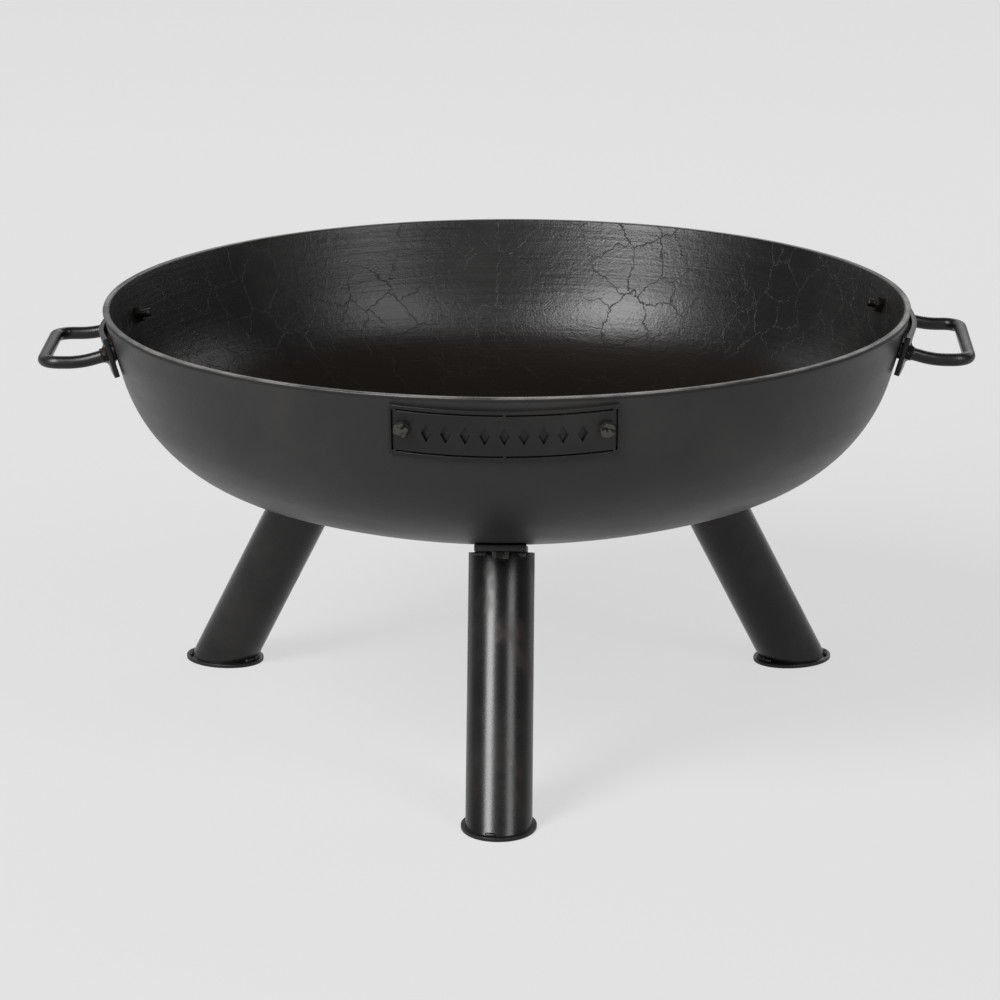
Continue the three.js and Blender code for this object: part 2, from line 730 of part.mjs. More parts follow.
function handleStrip(handle) {
  const blank = wrappedStrip(
    handle.drop,
    HANDLE_STRIP_LENGTH,
    HANDLE_STRIP_HEIGHT,
    HANDLE_STRIP_GAP,
    HANDLE_STRIP_THICKNESS,
    handle.tilt,
  );
  let strip = bowed(blank, handle.drop);
  for (const { isFront } of HANDLE_ENDS) {
    strip = strip.subtract(wallBoltHole(handleBoltLine(isFront, handle, FRONT)));
  }
  return toGeometry(strip).rotateZ(-FRONT);
}

// A ring on a handle bolt that holds the strip off the wall.
function spacer(line) {
  const ring = toSolid(rod(SPACER_RADIUS, SPACER_THICKNESS, BOLT_SEGMENTS * 2));
  const bore = toSolid(rod(BOLT_HOLE_RADIUS, SPACER_THICKNESS * 3, BOLT_SEGMENTS));
  const cut = ring.subtract(bore.translate(0, 0, -SPACER_THICKNESS));
  return aimed(toGeometry(cut), pointOnLine(line, CLEARANCE), line.out);
}

// ---------------------------------------------------------------- nameplate

function nameplateBoltLine(side) {
  return wallBoltLine(NAMEPLATE_BOLT_DROP, (side * NAMEPLATE_BOLT_SPACING) / 2, FRONT);
}

// A frame of narrow slots with a bridge left at every corner and half way along.
function frameSlots() {
  const halfLength = NAMEPLATE_LENGTH / 2 - FRAME_END_MARGIN;
  const halfHeight = NAMEPLATE_HEIGHT / 2 - FRAME_EDGE_MARGIN;
  const half = FRAME_SLOT / 2;
  const slots = [];
  for (const side of [-1, 1]) {
    const end = side * halfLength;
    slots.push(wrappedRectangle(
      NAMEPLATE_DROP,
      end - half,
      end + half,
      -halfHeight,
      halfHeight,
    ));
    for (const level of [-halfHeight, halfHeight]) {
      const inner = (side * FRAME_BRIDGE) / 2;
      const outer = end - side * (half + FRAME_BRIDGE);
      slots.push(wrappedRectangle(
        NAMEPLATE_DROP,
        Math.min(inner, outer),
        Math.max(inner, outer),
        level - half,
        level + half,
      ));
    }
  }
  return slots;
}

// A plain row of lozenge-shaped openings along the middle.
function lozengeRow() {
  const row = [];
  for (let index = 0; index < LOZENGE_COUNT; index += 1) {
    const centre = (index - (LOZENGE_COUNT - 1) / 2) * LOZENGE_PITCH;
    row.push(wrappedLozenge(NAMEPLATE_DROP, centre, LOZENGE_WIDTH, LOZENGE_HEIGHT));
  }
  return row;
}

function nameplate() {
  let plate = wrappedStrip(
    NAMEPLATE_DROP,
    NAMEPLATE_LENGTH,
    NAMEPLATE_HEIGHT,
    CLEARANCE,
    NAMEPLATE_THICKNESS,
  );
  for (const cutter of [...frameSlots(), ...lozengeRow()]) {
    plate = plate.subtract(cutter);
  }
  for (const side of [-1, 1]) {
    plate = plate.subtract(wallBoltHole(nameplateBoltLine(side)));
  }
  return toGeometry(plate);
}

// ---------------------------------------------------------------- assembly

function bowl() {
  let body = bowlBlank();
  const legHole = toGeometry(legBoltHole());
  for (const { azimuth } of LEGS) {
    body = body.subtract(toSolid(turnedToLeg(legHole, azimuth)));
  }
  for (const { side } of NAMEPLATE_ENDS) {
    body = body.subtract(wallBoltHole(nameplateBoltLine(side)));
  }
  for (const handle of HANDLES) {
    for (const { isFront } of HANDLE_ENDS) {
      const line = handleBoltLine(isFront, handle, handle.facing);
      body = body.subtract(wallBoltHole(line));
    }
  }
  return toGeometry(body);
}

function addLegs(group) {
  const shapes = [
    { kind: 'leg_tube', geometry: legTube(), material: tubeSteel },
    { kind: 'leg_plate', geometry: legPlate(), material: paintedSteel },
    { kind: 'foot_plate', geometry: footPlate(), material: paintedSteel },
    { kind: 'leg_bolt', geometry: legBolt(), material: zincSteel },
    { kind: 'leg_nut', geometry: legNut(), material: zincSteel },
  ];
  for (const { kind, geometry, material } of shapes) {
    for (const { name, azimuth } of LEGS) {
      group.add(part(`${kind}_${name}`, turnedToLeg(geometry, azimuth), material()));
    }
  }
}

function addHandles(group) {
  for (const handle of HANDLES) {
    const { name, facing } = handle;
    const bent = handleRod(handle).rotateZ(facing);
    const strip = handleStrip(handle).rotateZ(facing);
    group.add(part(`handle_rod_${name}`, bent, paintedSteel()));
    group.add(part(`handle_strip_${name}`, strip, paintedSteel()));
    for (const { name: end, isFront } of HANDLE_ENDS) {
      const line = handleBoltLine(isFront, handle, facing);
      const bolt = wallBolt(`handle_bolt_${name}_${end}`, line, HANDLE_STRIP_FACE, HANDLE_BOLT_TIP);
      group.add(bolt);
      group.add(wallNut(`handle_nut_${name}_${end}`, line));
      group.add(part(`handle_spacer_${name}_${end}`, spacer(line), zincSteel()));
    }
  }
}

function addNameplate(group) {
  group.add(part('nameplate', nameplate(), paintedSteel()));
  for (const { name: end, side } of NAMEPLATE_ENDS) {
    const line = nameplateBoltLine(side);
    const face = CLEARANCE + NAMEPLATE_THICKNESS;
    group.add(wallBolt(`nameplate_bolt_${end}`, line, face, NAMEPLATE_BOLT_TIP));
    group.add(wallNut(`nameplate_nut_${end}`, line));
  }
}

const group = new THREE.Group();
group.name = 'fire_bowl';
group.add(part('bowl', bowl(), paintedSteel()));
addLegs(group);
addHandles(group);
addNameplate(group);

export default group;
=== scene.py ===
# %% [markdown]
# # A black steel fire bowl
#
# The real object is a dished steel bowl, thick enough to ring when it is tapped. It stands
# on three splayed pieces of steel tube, has a bent rod handle on each side and a slotted
# nameplate on the front. Everything is painted satin black, and the paint inside the bowl
# has crackled.
#
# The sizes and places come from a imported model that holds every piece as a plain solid.
# This script loads that model, builds a finer piece over each solid and gives every
# surface its finish. All lengths are in metres, with Z up and the front towards -Y.

# %% Load the plain solids
import math

import bmesh
import bpy
from mathutils import Matrix, Vector, noise


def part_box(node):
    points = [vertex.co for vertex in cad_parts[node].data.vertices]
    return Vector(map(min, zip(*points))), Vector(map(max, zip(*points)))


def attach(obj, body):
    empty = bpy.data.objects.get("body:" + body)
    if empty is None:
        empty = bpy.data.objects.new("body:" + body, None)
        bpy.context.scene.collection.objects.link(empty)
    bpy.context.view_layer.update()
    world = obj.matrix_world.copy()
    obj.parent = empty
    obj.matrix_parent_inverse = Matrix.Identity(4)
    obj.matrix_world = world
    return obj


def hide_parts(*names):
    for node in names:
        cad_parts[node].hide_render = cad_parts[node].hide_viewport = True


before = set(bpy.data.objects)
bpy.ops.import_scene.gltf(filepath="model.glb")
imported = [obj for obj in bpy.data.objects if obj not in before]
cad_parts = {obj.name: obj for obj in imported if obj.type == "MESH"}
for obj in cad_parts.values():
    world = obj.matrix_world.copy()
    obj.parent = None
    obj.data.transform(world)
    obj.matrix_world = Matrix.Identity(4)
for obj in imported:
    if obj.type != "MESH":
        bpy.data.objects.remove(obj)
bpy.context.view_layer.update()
MM = 0.001

# %% [markdown]
# ## Sizes shared by many pieces
#
# The bowl's outline is three stretches: a shallow dish arc, a rounder knuckle arc and a
# straight wall that leans outwards. Every bolted piece sits on that wall, so its lean and
# slant are defined once, before anything is built.

# %% Sizes of the bowl
RIM_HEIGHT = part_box("bowl")[1].z
RIM_RADIUS = 381.5 * MM
BOWL_WALL = 6.35 * MM
WALL_LEAN = math.radians(16)
WALL_SLANT = 64 * MM
KNUCKLE_RADIUS = 149 * MM
DISH_RADIUS = 789 * MM
RIM_ROUNDING = 1.6 * MM
GAP = 0.3 * MM

wall_out = Vector((math.cos(WALL_LEAN), -math.sin(WALL_LEAN)))
wall_down = Vector((-math.sin(WALL_LEAN), -math.cos(WALL_LEAN)))


def wall_point(drop, out=0.0):
    """Radius and height of a point on the straight wall, down the slant and out from it."""
    return Vector((RIM_RADIUS, RIM_HEIGHT)) + wall_down * drop + wall_out * out


wall_foot = wall_point(WALL_SLANT)
knuckle_centre = wall_foot - wall_out * KNUCKLE_RADIUS
dish_rise = math.sqrt((DISH_RADIUS - KNUCKLE_RADIUS) ** 2 - knuckle_centre.x ** 2)
dish_centre = Vector((0.0, knuckle_centre.y + dish_rise))
meeting = knuckle_centre - dish_centre
MEETING_ANGLE = math.atan2(meeting.y, meeting.x)
print("bottom of the dish at", round((dish_centre.y - DISH_RADIUS) / MM, 1), "mm")

# %% [markdown]
# ## From a bmesh to a finished piece
#
# Every piece ends the same way. Doubled points are merged, faces are turned outwards,
# edges sharper than a crease angle stay sharp and the rest are shaded smooth. The piece
# then rides on the part's one body and stands in for the plain solids it covers.

# %% Finish a piece
CREASE = math.radians(32)
WELD_DISTANCE = 0.002 * MM


def shade_by_crease(bm, crease=CREASE):
    for face in bm.faces:
        face.smooth = True
    for edge in bm.edges:
        edge.smooth = len(edge.link_faces) == 2 and edge.calc_face_angle(0.0) < crease


def linked(name, data):
    """An object in the scene, at the origin, unturned."""
    made = bpy.data.objects.new(name, data)
    bpy.context.scene.collection.objects.link(made)
    return made


def finished(bm, name, finishes, stands_for=(), turn_faces=True):
    """Makes a bmesh into a named object that rides on the part."""
    bmesh.ops.remove_doubles(bm, verts=bm.verts, dist=WELD_DISTANCE)
    if turn_faces:
        bmesh.ops.recalc_face_normals(bm, faces=bm.faces)
    shade_by_crease(bm)
    mesh = bpy.data.meshes.new(name)
    bm.to_mesh(mesh)
    bm.free()
    piece = linked(name, mesh)
    for finish in finishes:
        mesh.materials.append(finish)
    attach(piece, "root")
    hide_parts(*stands_for)
    print(name, len(mesh.polygons), "faces")
    return piece


# %% [markdown]
# ## Shader maths that reads as maths
#
# A finish is a graph of nodes. Written out node by node, it is long and hard to follow.
# The small class `Wire` wraps a node's output so that `1 - mask * 0.5` builds its Math
# nodes by itself. `Finish` makes any other node in one call: its type, its settings, and
# what goes into its sockets.

# %% Wires and finishes
PAINT_IOR = 1.36


class Wire:
    """An output socket that can be added, subtracted, multiplied and divided."""

    def __init__(self, finish, socket):
        self.finish = finish
        self.socket = socket

    def _math(self, operation, first, second):
        return self.finish.node("Math", {"operation": operation}, {0: first, 1: second})

    def __add__(self, other):
        return self._math("ADD", self, other)

    def __sub__(self, other):
        return self._math("SUBTRACT", self, other)

    def __rsub__(self, other):
        return self._math("SUBTRACT", other, self)

    def __mul__(self, other):
        return self._math("MULTIPLY", self, other)

    def __truediv__(self, other):
        return self._math("DIVIDE", self, other)

    __radd__ = __add__
    __rmul__ = __mul__


class Finish:
    """A material, or a world, and the ways to add nodes to it."""

    def __init__(self, name, library=bpy.data.materials):
        self.owner = library.new(name)
        self.owner.use_nodes = True
        self.tree = self.owner.node_tree
        self.tree.nodes.clear()
        self.place = self.node("TexCoord", output="Object")

    def node(self, kind, settings=None, inputs=None, output=0):
        """Any node: its settings first, then the values or links of its sockets."""
        made = self.tree.nodes.new("ShaderNode" + kind)
        for name, value in (settings or {}).items():
            setattr(made, name, value)
        for socket, value in (inputs or {}).items():
            if isinstance(value, Wire):
                self.tree.links.new(value.socket, made.inputs[socket])
            else:
                made.inputs[socket].default_value = value
        return None if output is None else Wire(self, made.outputs[output])

    def stretched(self, scale, place=None):
        """Object coordinates multiplied by a size along each axis."""
        inputs = {0: place or self.place, 1: scale}
        return self.node("VectorMath", {"operation": "MULTIPLY"}, inputs)

    def noise(self, scale, detail=2.0, roughness=0.5, place=None, output=0):
        inputs = {"Vector": place or self.place, "Scale": scale}
        inputs |= {"Detail": detail, "Roughness": roughness}
        return self.node("TexNoise", None, inputs, output)

    def between(self, value, low, high):
        """0 below `low`, 1 above `high`, with a soft step between them."""
        settings = {"interpolation_type": "SMOOTHSTEP", "clamp": True}
        inputs = {"Value": value, "From Min": low, "From Max": high}
        return self.node("MapRange", settings, inputs)

    def mixed(self, mask, first, second):
        """The first colour where the mask is 0, the second where it is 1."""
        settings = {"data_type": "RGBA"}
        return self.node("Mix", settings, {0: mask, 6: first, 7: second}, output=2)

    def larger(self, first, second):
        return self.node("Math", {"operation": "MAXIMUM"}, {0: first, 1: second})

    def band(self, value, low, high, soft):
        """1 from `low` to `high`, fading to 0 over `soft` at both ends."""
        above = self.between(value, low - soft, low + soft)
        return above * (1 - self.between(value, high - soft, high + soft))

    def axis(self, index):
        """One coordinate of the place: 0, 1 or 2 for X, Y or Z."""
        return self.node("SeparateXYZ", None, {0: self.place}, output=index)

    def bump(self, height, distance, normal=None):
        inputs = {"Height": height, "Distance": distance}
        if normal is not None:
            inputs["Normal"] = normal
        return self.node("Bump", None, inputs)

    def surface(self, colour, roughness, normal, metallic=0.0, shine=0.5):
        """`shine` is the strength of its reflections, 0.5 for a plain clean surface."""
        inputs = {"Base Color": colour, "Roughness": roughness, "Normal": normal}
        inputs |= {"Metallic": metallic, "IOR": PAINT_IOR, "Specular IOR Level": shine}
        return self.node("BsdfPrincipled", None, inputs)

    def ended(self, surface, kind="OutputMaterial"):
        """Ends the graph with a surface and returns the material or world."""
        self.node(kind, None, {"Surface": surface}, output=None)
        return self.owner


print("shader helpers ready")

# %% [markdown]
# ## Black paint
#
# Satin black paint on steel sends back about one part in a hundred of the light by
# itself, and most of what we see on it is the room reflected. So its colour hardly
# matters and its surface matters a lot: a fine orange peel from the spray gun, slow
# changes of gloss from handling, and here and there a rubbed, slightly browner patch.
# The bowl's outside is a little greyer with dust. Its rim is worn through to the steel,
# with a painted shade line just under it: a dark band that stands in for the rim's shadow.

# %% Paint for the outside of the bowl and the plates
PAINT_BLACK = (0.0034, 0.0033, 0.0032, 1)
PAINT_GREY = (0.0110, 0.0107, 0.0106, 1)
PAINT_RUBBED = (0.010, 0.0092, 0.0086, 1)
PAINT_DUSTY = (0.018, 0.0168, 0.016, 1)
RUST_BROWN = (0.0105, 0.0062, 0.0042, 1)
BARE_STEEL = (0.10, 0.095, 0.088, 1)
# Below the worn edge, a painted shade line darkens the wall for the shadow under the rim; its
# depth, cover and dulling are set here.
WORN_DEPTH, SHADE_LINE_DEPTH, RIM_WAVE = 1.6 * MM, 4.6 * MM, 1.6 * MM
SHADE_LINE_COVER, SHADE_LINE_DULLING = 0.8, 0.25
FINE_PEEL, BOWL_PEEL = 0.06 * MM, 0.1 * MM


def worn_rim(finish, colour, gloss):
    """Paint worn thin on the rim's edge, and a painted shade line just below it."""
    wave = (finish.noise(30, 4, 0.6) - 0.5) * RIM_WAVE
    depth = RIM_HEIGHT - finish.axis(2) + wave
    worn = 1 - finish.between(depth, WORN_DEPTH * 0.4, WORN_DEPTH)
    # Painted shade: a black, duller band just under the rim, for the shadow that the rounded
    # rim casts on the wall.
    shade_line = (1 - finish.between(depth, SHADE_LINE_DEPTH * 0.8, SHADE_LINE_DEPTH)) * (1 - worn)
    patchy = finish.between(finish.noise(14, 4, 0.6), 0.35, 0.65)
    colour = finish.mixed(worn * patchy, colour, BARE_STEEL)
    colour = finish.mixed(shade_line * SHADE_LINE_COVER, colour, PAINT_BLACK)
    return colour, gloss + shade_line * SHADE_LINE_DULLING


def satin_paint(name, roughness, peel=FINE_PEEL, rust_share=0.0, of_bowl=False):
    """Satin paint: orange peel, handling marks, and rust or the bowl's rim where asked."""
    finish = Finish(name)
    cloud = finish.noise(7, 4, 0.6)
    smear = finish.noise(5, 5, 0.65, finish.stretched((1, 1, 6)))
    speck = finish.noise(420, 2, 0.5)
    worn = finish.between(cloud, 0.42, 0.72)
    clean, rubbed = (PAINT_GREY, PAINT_DUSTY) if of_bowl else (PAINT_BLACK, PAINT_RUBBED)
    colour = finish.mixed(worn, clean, rubbed)
    if rust_share:
        spots = finish.between(finish.noise(46, 3, 0.6), 1 - rust_share, 1.04 - rust_share)
        colour = finish.mixed(spots, colour, RUST_BROWN)
    gloss = roughness + (smear - 0.5) * 0.24 + (speck - 0.5) * 0.06
    if of_bowl:
        colour, gloss = worn_rim(finish, colour, gloss)
    grain = finish.noise(330, 3, 0.55)
    wave = finish.noise(38, 2, 0.5)
    normal = finish.bump(grain + wave * 2.0, peel)
    return finish.ended(finish.surface(colour, gloss, normal))


bowl_paint = satin_paint("bowl_paint", roughness=0.40, peel=BOWL_PEEL, of_bowl=True)
plate_paint = satin_paint("plate_paint", roughness=0.42, rust_share=0.28)
handle_paint = satin_paint("handle_paint", roughness=0.33)
nameplate_paint = satin_paint("nameplate_paint", roughness=0.40)
print("paints ready")

# %% [markdown]
# ## Crackled paint
#
# Inside the bowl the paint was laid on thick and has crackled. The cracks make a loose
# net: long wandering lines, with a finer net between them in patches. The distance to
# the nearest cell edge of a Voronoi texture draws such a net, once noise has bent its
# cells. The net is drawn on the bowl's inside laid out flat, so that its lines keep one
# width. A second noise fades the lines in and out so that the net never looks even.
#
# The bottom has no shiny paint left, only dull brown scale, so a second surface with
# hardly any reflection is mixed in below a wavering level.

# %% Paint for the inside of the bowl
# The crack lines' lighter grey is a painted highlight, for the light that their edges catch.
CRACK_EDGE_GLINT = (0.011, 0.0104, 0.0100, 1)
SCALE_BROWN = (0.0050, 0.0036, 0.0027, 1)
SCALE_ROUGHNESS, SCALE_SHINE, SCALE_COVER = 0.5, 0.12, 0.9
SCALE_BELOW, PAINT_ABOVE = RIM_HEIGHT - 124 * MM, RIM_HEIGHT - 98 * MM
CRACK_DEPTH, SKIN_DEPTH = 0.22 * MM, 0.2 * MM
LINE_CORE = 0.3


def flattened(finish):
    """The inside of the bowl laid out flat: the further up the wall, the further out."""
    flat = finish.stretched((1, 1, 0))
    reach = finish.node("VectorMath", {"operation": "LENGTH"}, {0: flat}, output=1)
    inside_bottom = dish_centre.y - DISH_RADIUS + BOWL_WALL
    spread = (reach + (finish.axis(2) - inside_bottom)) / reach
    return finish.node("VectorMath", {"operation": "SCALE"}, {0: flat, "Scale": spread})


def crack_net(finish, layout, size, width, bend, seed):
    """1 on the cracks of a net with cells of about `size`, 0 elsewhere."""
    centred = finish.node("VectorMath", {"operation": "ADD"}, {0: layout, 1: seed})
    wobble = finish.noise(2.6 / size, 4, 0.6, centred, output=1)
    shift = finish.node("VectorMath", {"operation": "SCALE"}, {0: wobble, "Scale": bend * size})
    bent = finish.node("VectorMath", {"operation": "ADD"}, {0: centred, 1: shift})
    settings = {"feature": "DISTANCE_TO_EDGE", "voronoi_dimensions": "2D"}
    cells = finish.node("TexVoronoi", settings, {"Vector": bent, "Scale": 1 / size})
    return 1 - finish.between(cells, width / size * LINE_CORE, width / size)


def crackled_paint(name):
    finish = Finish(name)
    layout = flattened(finish)
    wide = crack_net(finish, layout, 50 * MM, 0.9 * MM, 0.55, (0.31, 0.17, 0))
    fine = crack_net(finish, layout, 21 * MM, 0.58 * MM, 0.5, (0.12, 0.55, 0))
    where_wide = finish.between(finish.noise(8, 2, 0.5), 0.34, 0.52)
    where_fine = finish.between(finish.noise(10, 3, 0.6), 0.50, 0.64)
    cracks = finish.larger(wide * where_wide, fine * where_fine * 0.6)
    grain = finish.noise(520, 3, 0.6)
    lumps = finish.noise(150, 4, 0.65)
    rings = finish.noise(9, 3, 0.6, finish.stretched((1, 1, 26)))
    cloud = finish.noise(6, 4, 0.6)
    worn = finish.between(cloud, 0.4, 0.75)
    level = finish.axis(2) + (cloud - 0.5) * 0.02
    deep = 1 - finish.between(level, SCALE_BELOW, PAINT_ABOVE)
    colour = finish.mixed(worn, PAINT_BLACK, PAINT_RUBBED)
    # Painted highlight: the cracks are drawn lighter, for light caught on their edges.
    colour = finish.mixed(cracks * 0.5, colour, CRACK_EDGE_GLINT)
    gloss = 0.335 + (grain - 0.5) * 0.14 + (rings - 0.5) * 0.14 + cracks * 0.3
    skin = finish.bump(grain + lumps * 1.6 + rings * 1.6, SKIN_DEPTH)
    normal = finish.bump(1 - cracks, CRACK_DEPTH, skin)
    paint = finish.surface(colour, gloss, normal)
    scale = finish.surface(SCALE_BROWN, SCALE_ROUGHNESS, normal, shine=SCALE_SHINE)
    mix = finish.node("MixShader", None, {0: deep * SCALE_COVER, 1: paint, 2: scale})
    return finish.ended(mix)


crackle = crackled_paint("crackle_paint")
print("crackle ready")

# %% [markdown]
# ## The bowl
#
# A bowl like this is a dished tank end, pressed from quarter inch plate. In Blender it
# is a lathe shape: draw half of its outline once and spin it round the upright axis. The
# outline goes up the outside, over the rounded rim and down the inside.

# %% Spinning an outline
FULL_TURN = math.radians(360)


def arc(centre, radius, start, end, steps):
    """Points on an arc of radius and height, without its first point."""
    points = []
    for step in range(1, steps + 1):
        angle = start + (end - start) * step / steps
        points.append(centre + Vector((math.cos(angle), math.sin(angle))) * radius)
    return points


def spun(outline, steps, closed=False):
    """A bmesh made by turning an outline of radius and height about the Z axis."""
    bm = bmesh.new()
    corners = [bm.verts.new((radius, 0, height)) for radius, height in outline]
    pairs = list(zip(corners, corners[1:]))
    if closed:
        pairs.append((corners[-1], corners[0]))
    edges = [bm.edges.new(pair) for pair in pairs]
    bmesh.ops.spin(
        bm, geom=corners + edges, cent=(0, 0, 0), axis=(0, 0, 1),
        angle=FULL_TURN, steps=steps, use_merge=True, use_duplicate=False,
    )
    bmesh.ops.remove_doubles(bm, verts=bm.verts, dist=WELD_DISTANCE)
    bmesh.ops.recalc_face_normals(bm, faces=bm.faces)
    return bm


# %% The bowl's outline
DISH_STEPS, KNUCKLE_STEPS, WALL_STEPS, BOWL_STEPS = 26, 18, 10, 288


def belly(depth):
    """The curved part of the outline from the axis up to the wall, `depth` inside."""
    flat, steep = -math.radians(90), -WALL_LEAN
    dish = arc(dish_centre, DISH_RADIUS - depth, flat, MEETING_ANGLE, DISH_STEPS)
    knuckle = arc(knuckle_centre, KNUCKLE_RADIUS - depth, MEETING_ANGLE, steep, KNUCKLE_STEPS)
    pole = Vector((0, dish_centre.y - DISH_RADIUS + depth))
    return [pole, *dish, *knuckle]


def rim():
    """The rounded rim, from the outside of the wall to its inside."""
    upright = math.radians(90)
    rim_width = BOWL_WALL / math.cos(WALL_LEAN)
    outer_inset = RIM_ROUNDING * math.tan((upright + WALL_LEAN) / 2)
    inner_inset = RIM_ROUNDING * math.tan((upright - WALL_LEAN) / 2)
    level = RIM_HEIGHT - RIM_ROUNDING
    outer = Vector((RIM_RADIUS - outer_inset, level))
    inner = Vector((RIM_RADIUS - rim_width + inner_inset, level))
    return [
        outer + wall_out * RIM_ROUNDING,
        *arc(outer, RIM_ROUNDING, -WALL_LEAN, upright, 5),
        Vector((inner.x, RIM_HEIGHT)),
        *arc(inner, RIM_ROUNDING, upright, math.radians(180) - WALL_LEAN, 5),
    ]


def straight(start, end, steps):
    return [start.lerp(end, step / steps) for step in range(1, steps)]


outside, edge, inside = belly(0), rim(), belly(BOWL_WALL)[::-1]
outline = outside + straight(outside[-1], edge[0], WALL_STEPS) + edge
outline += straight(edge[-1], inside[0], WALL_STEPS) + inside
print("outline points:", len(outline))

# %% [markdown]
# The pressed plate is never perfectly true, so the wall gets a slow ripple of a few
# tenths of a millimetre. It is too small to see as a shape, but it bends the reflections
# the way real plate does. Faces that look at the middle of the mouth are the inside, and
# take the crackled paint.

# %% The bowl itself
RIPPLE, POLE_CLEAR = 0.35 * MM, 20 * MM
INWARD = -10 * MM


def rippled(bm, amount):
    """Moves points in along the radius by a slow noise."""
    for vert in bm.verts:
        reach = math.hypot(vert.co.x, vert.co.y)
        if reach > POLE_CLEAR:
            swing = noise.noise(Vector((vert.co.x, vert.co.y, vert.co.z * 0.6)) * 9)
            scale = 1 - amount * (0.5 + 0.5 * swing) / reach
            vert.co.x *= scale
            vert.co.y *= scale


bm = spun(outline, BOWL_STEPS)
mouth = Vector((0, 0, RIM_HEIGHT))
for face in bm.faces:
    centre = face.calc_center_median()
    if face.normal.dot(centre - mouth) < INWARD:
        face.material_index = 1
rippled(bm, RIPPLE)
finished(bm, "fire_bowl", [bowl_paint, crackle], ["bowl"], False)

# %% [markdown]
# ## Strips bent round the wall
#
# The nameplate and the handle strips are flat bar, bent to the wall. A straight strip on
# a cone can't lie level: its ends climb a little, as a paper strip shows when it is laid
# round a lampshade. So each strip is modelled flat, where bevels and slots are easy, and
# then bent by one function that knows how a sheet unrolls from a cone.
#
# The handle strips stand off the wall on small spacer rings, one round each bolt, and bow
# out a little further between them. They were fitted by hand, so they differ: each sits
# at its own height and leans its own amount.

# %% Bending flat work round the wall


def on_wall(drop, facing, along, out, up):
    """Where a point of a flat strip ends up. `drop` is the strip's middle below the rim."""
    middle = wall_point(drop)
    apex = middle.x / math.sin(WALL_LEAN)
    reach = math.hypot(apex + up, along)
    turn = facing + math.atan2(along, apex + up) / math.sin(WALL_LEAN)
    radius = reach * math.sin(WALL_LEAN) + out * wall_out.x
    height = middle.y + (reach - apex) * math.cos(WALL_LEAN) + out * wall_out.y
    return Vector((radius * math.cos(turn), radius * math.sin(turn), height))


def bend_round_wall(bm, drop, facing):
    for vert in bm.verts:
        vert.co = on_wall(drop, facing, *vert.co)


def cut_across(bm, axis, places):
    """Cuts a flat piece with planes square to an axis, so that it can bend there."""
    for place in places:
        geometry = bm.verts[:] + bm.edges[:] + bm.faces[:]
        point = [place if index == axis else 0 for index in range(3)]
        normal = [1 if index == axis else 0 for index in range(3)]
        bmesh.ops.bisect_plane(
            bm, geom=geometry, dist=WELD_DISTANCE / 4, plane_co=point, plane_no=normal)


def flat_bar(length, thickness, height, edge_radius):
    """A bar with rounded edges. Y is its thickness and starts at its back face."""
    bm = bmesh.new()
    bmesh.ops.create_cube(bm, size=1)
    bmesh.ops.scale(bm, vec=(length, thickness, height), verts=bm.verts)
    bmesh.ops.translate(bm, vec=(0, thickness / 2, 0), verts=bm.verts)
    bmesh.ops.bevel(
        bm, geom=bm.edges[:], offset=edge_radius, offset_type="OFFSET", segments=3,
        profile=0.5, affect="EDGES", material=-1, clamp_overlap=True,
    )
    return bm


def steps_between(low, high, count):
    return [low + (high - low) * step / count for step in range(1, count)]


# %% The handle strips
RIGHT, LEFT, FRONT = 0.0, math.radians(180), math.radians(-90)
ROD_RADIUS, HANDLE_WIDTH = 6 * MM, 130 * MM
FLATS, BOLT_ROOM, BOLT_RISE = 13 * MM, 0.5 * MM, 4 * MM
STRIP_LENGTH, STRIP_HEIGHT, STRIP_THICKNESS = 170 * MM, 38 * MM, 5 * MM
STRIP_BOW, SPACER_THICKNESS = 2.1 * MM, 2.3 * MM
STRIP_GAP = GAP + SPACER_THICKNESS + GAP
STRIP_FACE = STRIP_GAP + STRIP_THICKNESS
BOLT_ALONG = HANDLE_WIDTH / 2 + ROD_RADIUS + FLATS / 2 + BOLT_ROOM


class Handle:
    """Where one handle sits: its side, how low its strip lies and how far it leans."""

    def __init__(self, side, facing, front_side, drop, tilt):
        self.side, self.facing, self.front_side = side, facing, front_side
        self.drop, self.tilt = drop, math.radians(tilt)

    def tilted(self, along, up):
        """A place on the leaning strip, measured from its middle."""
        return Matrix.Rotation(self.tilt, 2) @ Vector((along, up))

    def ends(self):
        """The two ends of the handle, each with its side along the strip."""
        return (("front", self.front_side), ("rear", -self.front_side))


HANDLES = [Handle("right", RIGHT, -1, 33.5 * MM, 2), Handle("left", LEFT, 1, 39.5 * MM, 1)]


def bow(along):
    """How far the strip stands out beyond its spacers, most half way between them."""
    return STRIP_BOW * max(0.0, 1 - (along / BOLT_ALONG) ** 2) ** 2


for handle in HANDLES:
    bm = flat_bar(STRIP_LENGTH, STRIP_THICKNESS, STRIP_HEIGHT, 0.5 * MM)
    cut_across(bm, 0, steps_between(-STRIP_LENGTH / 2, STRIP_LENGTH / 2, 44))
    for vert in bm.verts:
        place = handle.tilted(vert.co.x, vert.co.z)
        out = vert.co.y + STRIP_GAP + bow(place.x)
        vert.co = on_wall(handle.drop, handle.facing, place.x, out, place.y)
    finished(bm, f"strip_{handle.side}", [handle_paint],
             [f"handle_strip_{handle.side}"])

# %% [markdown]
# ## The nameplate
#
# Thin strip with narrow slots for a frame and a row of lozenges between two bolts. The
# slots were cut by a laser, so they have sharp edges and let the dark gap behind show.
# The plate starts as one flat face. Planes cut it along every slot edge, the faces
# inside the slots are deleted, and what is left is extruded to its thickness.

